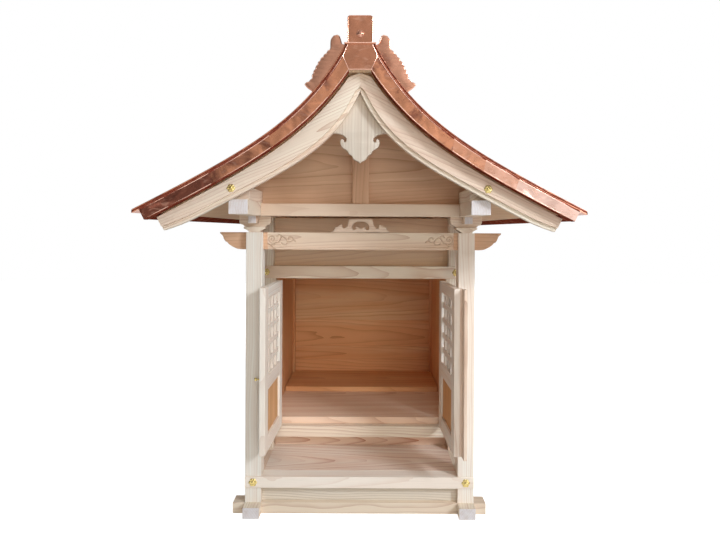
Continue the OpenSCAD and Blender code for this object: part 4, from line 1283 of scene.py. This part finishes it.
class SHRINE_OT_fins(bpy.types.Operator):
    """Shape the cloud-edged fins at the ridge's ends"""
    bl_idname = "shrine.fins"
    bl_label = "Fins"

    def execute(self, context):
        loop = front_outline("ridge_fins")
        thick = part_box("ridge_fins")[0].y
        width, edge, brow_points, dip, crimp = 0.008, 0.0012, 6, 0.0017, 0.0105
        tip = max(range(len(loop)), key=lambda i: loop[i][0])
        loop = loop[tip:] + loop[:tip]
        # Corners of the horn moved across and up, in millimetres, to draw it out to a point.
        moved = {0: (0, 1.7), 1: (-2.3, 1.7), 9: (2.7, -0.5), 10: (3.8, 1.0), 11: (6.5, 2.2),
                 20: (-4.3, 19.0), 21: (-1.4, 5.8)}
        for i, (across, up) in moved.items():
            loop[i] = (loop[i][0] + across / 1000, loop[i][1] + up / 1000)
        brow, at = even_run(loop[:brow_points], 0.0012)
        brow = lowered(brow, [-dip * (1 - abs(math.sin(math.pi * far / crimp))) for far in at])
        sharp = {i - brow_points + len(brow) for i in self.sharp(loop) if i >= brow_points}
        sharp |= set(range(len(brow)))
        outer = smooth_loop(brow + loop[brow_points:], sharp, 5)
        rim_line = [(x, thick + edge, z) for x, z in outer]
        # The rim bead takes the second material: the paler copper of painted highlight.
        rim = paint(beads([rim_line + rim_line[:1]], edge))
        whole = lay_grain(joined([plate([outer], thick, thick + width, edge), rim]), 151, "post", 2)
        left = flipped(whole)
        piece(joined([whole, left, flipped(whole, 1), flipped(left, 1)]), "ridge_fins_shaped", "ridge_fins",
              ["copper_fin", "copper_fold"], "copper")
        return DONE

    def sharp(self, loop):
        """Corners where the outline turns by more than 38 degrees."""
        out = set()
        for i, place in enumerate(loop):
            a = Vector(place) - Vector(loop[i - 1])
            b = Vector(loop[(i + 1) % len(loop)]) - Vector(place)
            if a.length > 1e-6 and b.length > 1e-6 and a.angle(b) > math.radians(38):
                out.add(i)
        return out


class SHRINE_OT_caps(bpy.types.Operator):
    """Set the six-petalled brass caps over the nails"""
    bl_idname = "shrine.caps"
    bl_label = "Brass caps"

    def execute(self, context):
        shape = cad_mesh("brass_caps")
        places = []
        for group in solids(shape):
            spots = np.array([v.co for v in group])
            low, high = spots.min(0), spots.max(0)
            middle = (low + high) / 2
            places.append((middle[0], high[1] if middle[1] < 0 else low[1], middle[2]))
        shape.free()
        across, tall = float(high[0] - low[0]), float(high[1] - low[1])
        gables, smaller = 0.7, 0.88
        parts = []
        for front in (True, False):
            for up, wide in ((True, across * smaller), (False, across)):
                parts.append(self.caps([p for p in places if (p[1] < 0, p[2] > gables) == (front, up)],
                                       wide, tall, math.radians(90 if front else -90)))
        piece(lay_grain(joined(parts), 161, "post", 1), "brass_caps_petals", "brass_caps", ["brass"], "brass")
        return DONE

    def caps(self, places, wide, tall, turn):
        """A cap at each place: six round petals on a disc, about a dome."""
        maker = Maker("Caps", Width=wide, Height=tall)
        across, height = maker.sizes
        # Shares of the cap's width and height.
        petal_ring, petal, petal_flat = 0.285, 0.215, 0.62
        disc_wide, disc_thick = 0.4, 0.2
        dome_wide, dome_flat, dome_up = 0.23, 0.78, 0.34
        ring = maker.geo("MeshCircle", Vertices=6, Radius=across * petal_ring)
        ball = maker.geo("MeshUVSphere", Segments=14, Rings=8, Radius=across * petal)
        petals = maker.on(ring, maker.geo("Transform", Geometry=ball, Scale=(1.0, 1.0, petal_flat)))
        disc = maker.geo("MeshCylinder", Vertices=24, Radius=across * disc_wide, Depth=height * disc_thick)
        dome = maker.geo("MeshUVSphere", Segments=20, Rings=12, Radius=across * dome_wide)
        dome = maker.geo("Transform", Geometry=dome, Scale=(1.0, 1.0, dome_flat),
                         Translation=maker.xyz(0.0, 0.0, height * dome_up))
        cap = maker.merged((petals, disc, dome))
        upright = maker.geo("Transform", Geometry=cap, Rotation=(turn, 0.0, 0.0))
        return maker.run(maker.on(maker.start, upright), "brass", drawn(places))


# ---- Doors ----

def opening(leaf):
    """Turns a leaf from shut to where it stands open."""
    joint = next(j for j in frame["joints"] if j["child"] == leaf)
    pin = Vector(joint["pos_m"])
    turn = Matrix.Rotation(-math.radians(joint["range_deg"][1]), 4, Vector(joint["axis"]))
    return Matrix.Translation(pin) @ turn @ Matrix.Translation(-pin)


class SHRINE_OT_doors(bpy.types.Operator):
    """Join the two leaves: stiles, rails, panel, lattice, brass and the cover strip"""
    bl_idname = "shrine.doors"
    bl_label = "Doors"

    def execute(self, context):
        soft = context.scene.shrine_wood.soft_edge
        for body, seed in (("left_door", 200), ("right_door", 240)):
            open_up = opening(body)
            back = open_up.inverted()
            boxes = []
            for part in ("_frame", "_panel", "_lattice"):
                places = np.array([back @ v.co for v in frame["nodes"][body + part].data.vertices])
                boxes.append((Vector(places.min(0)), Vector(places.max(0))))
            (low, high), (p_low, p_high), (l_low, l_high) = boxes
            leaf, panel = bmesh.new(), bmesh.new()
            for x0, x1 in ((low.x, p_low.x), (p_high.x, high.x)):
                add_box(leaf, (x0, low.y, low.z), (x1, high.y, high.z))
            for z0, z1 in ((low.z, p_low.z), (p_high.z, l_low.z), (l_high.z, high.z)):
                add_box(leaf, (p_low.x, low.y, z0), (p_high.x, high.y, z1))
            add_box(panel, p_low, p_high)
            lattice = self.lattice(l_low, l_high)
            for at, (shape, cut, along, part, work, finish, slot, edge) in enumerate((
                    (leaf, "quarter", None, "_frame", "_joined", "cypress_pale", "cypress", soft),
                    (panel, "board", 2, "_panel", "_board", "cypress_door", "cypress_warm", soft),
                    (lattice, "quarter", None, "_lattice", "_bars", "cypress_pale", "cypress", soft * 0.7))):
                lay_grain(shape, seed + at, cut, along).transform(open_up)
                piece(shape, body + part + work, body + part, [finish], slot, edge, body)
            self.polished(body + "_brass", seed + 3, body)
        timber("cover_strip", 280, cut="quarter", along=2, body="right_door")
        self.polished("fixed_hinges", 281, "building")
        return DONE

    def polished(self, node, seed, body):
        """A brass fitting in the frame's own shape, its edges barely rounded."""
        piece(grained(node, seed, "post", 2), node + "_polished", node, ["brass"], "brass", 0.0003, body)

    def lattice(self, low, high):
        """Lapped bars on even centres, the level ones a hair thinner."""
        wide, deep, tall = high - low
        maker = Maker("Lattice", Width=wide, Height=tall, Bar=0.014, Thickness=deep, Columns=4, Rows=5)
        across, tall, bar, thick, columns, rows = maker.sizes
        bars = []
        for count, span, upright in ((columns, across, True), (rows, tall, False)):
            pitch = (span + bar) / count
            begin = pitch - bar / 2
            if upright:
                first, step = maker.xyz(begin, 0.0, tall / 2), maker.xyz(pitch)
                size = maker.xyz(bar, thick, tall)
            else:
                first, step = maker.xyz(across / 2, 0.0, begin), maker.xyz(0.0, 0.0, pitch)
                size = maker.xyz(across, thick - 0.0008, bar)
            bars.append(maker.on(maker.line(count - 1.0, first, step), maker.geo("MeshCube", Size=size)))
        corner = (low.x, (low.y + high.y) / 2, low.z)
        placed = maker.geo("Transform", Geometry=maker.merged(bars), Translation=corner)
        return maker.run(placed, "cypress_pale", drawn([(0, 0, 0)]))


# ---- Stage ----

# Place, point looked at, size, colour and whether the metal mirrors it.
LAMPS = {
    "key": ((2.3, -2.5, 2.0), (0, -0.3, 0.5), 0.8, (0.93, 1.0, 1.1), True),
    "top": ((0.25, -2.9, 3.3), (0, -0.2, 0.4), 1.7, (0.98, 1.0, 1.04), False),
    "front": ((0.8, -6.0, 1.35), (0, -0.1, 0.4), 2.2, (1.0, 0.92, 0.82), False),
    "rear": ((-3.2, 4.4, 2.4), (0, 0, 0.5), 2.0, (1.0, 0.97, 0.94), False),
}


class SHRINE_OT_stage(bpy.types.Operator):
    """Set the camera, the lamps, the sky and the pale floor"""
    bl_idname = "shrine.stage"
    bl_label = "Stage"

    def execute(self, context):
        scene = context.scene
        settings = scene.shrine_stage
        scene.view_settings.view_transform = "Standard"
        eye = bpy.data.cameras.new("camera")
        eye.lens = settings.lens
        eye.sensor_width = 36
        eye.shift_x = -0.0103
        eye.shift_y = -0.0556
        scene.camera = self.stood("camera", eye)
        scene.camera.location = (0.017, -1.8245, 0.7)
        scene.camera.rotation_euler = (math.radians(90), settings.roll, 0)
        self.floor()
        self.sky(settings.world)
        for name, (place, aim, size, colour, glossy) in LAMPS.items():
            light = bpy.data.lights.new(name, "AREA")
            light.size = size
            light.energy = getattr(settings, name)
            light.color = colour
            lamp = self.stood(name, light)
            lamp.location = place
            lamp.rotation_euler = (Vector(aim) - Vector(place)).to_track_quat("-Z", "Y").to_euler()
            lamp.visible_glossy = glossy
        return DONE

    def stood(self, name, data):
        """An object of the stage, put in the scene."""
        made = bpy.data.objects.new(name, data)
        bpy.context.scene.collection.objects.link(made)
        return made

    def floor(self):
        """A matt floor that shows as white, a shade less near the shrine, and keeps its shadow."""
        flat = bmesh.new()
        bmesh.ops.create_grid(flat, x_segments=2, y_segments=2, size=6)
        mesh = as_mesh(flat, "floor")
        pale = Finish("floor")
        rays = pale.node("ShaderNodeLightPath")
        seen = rays["Is Camera Ray"] + rays["Is Glossy Ray"] + rays["Is Transmission Ray"]
        far = pale.node("ShaderNodeVectorMath", {"operation": "LENGTH"}, {0: pale.place()})["Value"]
        matt = pale.node("ShaderNodeBsdfDiffuse", {}, {"Color": (0.8, 0.8, 0.8, 1)})[0]
        glow = pale.node("ShaderNodeEmission", {}, {
            "Color": (1, 1, 1, 1), "Strength": seen * (0.92 + 0.08 * far.between(0.9, 2.4))})[0]
        both = pale.node("ShaderNodeAddShader", {}, {0: matt, 1: glow})[0]
        pale.node("ShaderNodeOutputMaterial", {}, {"Surface": both})
        mesh.materials.append(pale.material)
        self.stood("floor", mesh)

    def sky(self, level):
        """White where the camera looks, a soft band of light for the metal and little light on the rest."""
        world = bpy.data.worlds.new("sky")
        world.use_nodes = True
        world.node_tree.nodes.clear()
        sky = Tree(world.node_tree)
        rays = sky.node("ShaderNodeLightPath")
        white = rays["Is Camera Ray"] + rays["Is Transmission Ray"]
        mirror = rays["Is Glossy Ray"]
        aim = sky.node("ShaderNodeTexCoord")["Generated"]
        x, _, z = sky.split(aim)
        side = (x + 0.25 * z + 0.5 * (sky.noise(aim, 2.6, 1.0) - 0.5)).between(-0.75, 0.55)
        strength = level + white * (1 - level) + mirror * (0.2 - level + 0.8 * side)
        tint = sky.mixed(white + mirror, (1.0, 0.9, 0.8, 1.0), (1.0, 1.0, 1.0, 1.0))
        light = sky.node("ShaderNodeBackground", {}, {"Color": tint, "Strength": strength})
        sky.node("ShaderNodeOutputWorld", {}, {0: light[0]})
        bpy.context.scene.world = world


OPERATORS = (SHRINE_OT_finishes, SHRINE_OT_base, SHRINE_OT_posts, SHRINE_OT_floors, SHRINE_OT_walls,
             SHRINE_OT_porch_beam, SHRINE_OT_frog_leg, SHRINE_OT_brackets, SHRINE_OT_upper_frame,
             SHRINE_OT_gable_boards, SHRINE_OT_pendants, SHRINE_OT_roof_boards, SHRINE_OT_covering,
             SHRINE_OT_copper_edges, SHRINE_OT_ridge, SHRINE_OT_fins, SHRINE_OT_caps, SHRINE_OT_doors,
             SHRINE_OT_stage)
GROUPS = (("shrine_wood", ShrineWood), ("shrine_copper", ShrineCopper), ("shrine_carving", ShrineCarving),
          ("shrine_stage", ShrineStage))


class SHRINE_PT_panel(bpy.types.Panel):
    """Lists the shrine's sizes and its pieces"""
    bl_idname = "SHRINE_PT_panel"
    bl_label = "Shrine"
    bl_space_type = "VIEW_3D"
    bl_region_type = "UI"
    bl_category = "Shrine"

    def draw(self, context):
        for name, group in GROUPS:
            box = self.layout.box()
            for key in group.__annotations__:
                box.prop(getattr(context.scene, name), key)
        for operator in OPERATORS:
            self.layout.operator(operator.bl_idname)


def register():
    for name, group in GROUPS:
        bpy.utils.register_class(group)
        setattr(bpy.types.Scene, name, bpy.props.PointerProperty(type=group))
    for shown in (*OPERATORS, SHRINE_PT_panel):
        bpy.utils.register_class(shown)


def unregister():
    for shown in (SHRINE_PT_panel, *reversed(OPERATORS)):
        bpy.utils.unregister_class(shown)
    for name, group in reversed(GROUPS):
        delattr(bpy.types.Scene, name)
        bpy.utils.unregister_class(group)


def main():
    register()
    for operator in OPERATORS:
        group, name = operator.bl_idname.split(".")
        getattr(getattr(bpy.ops, group), name)()


if __name__ == "__main__":
    main()
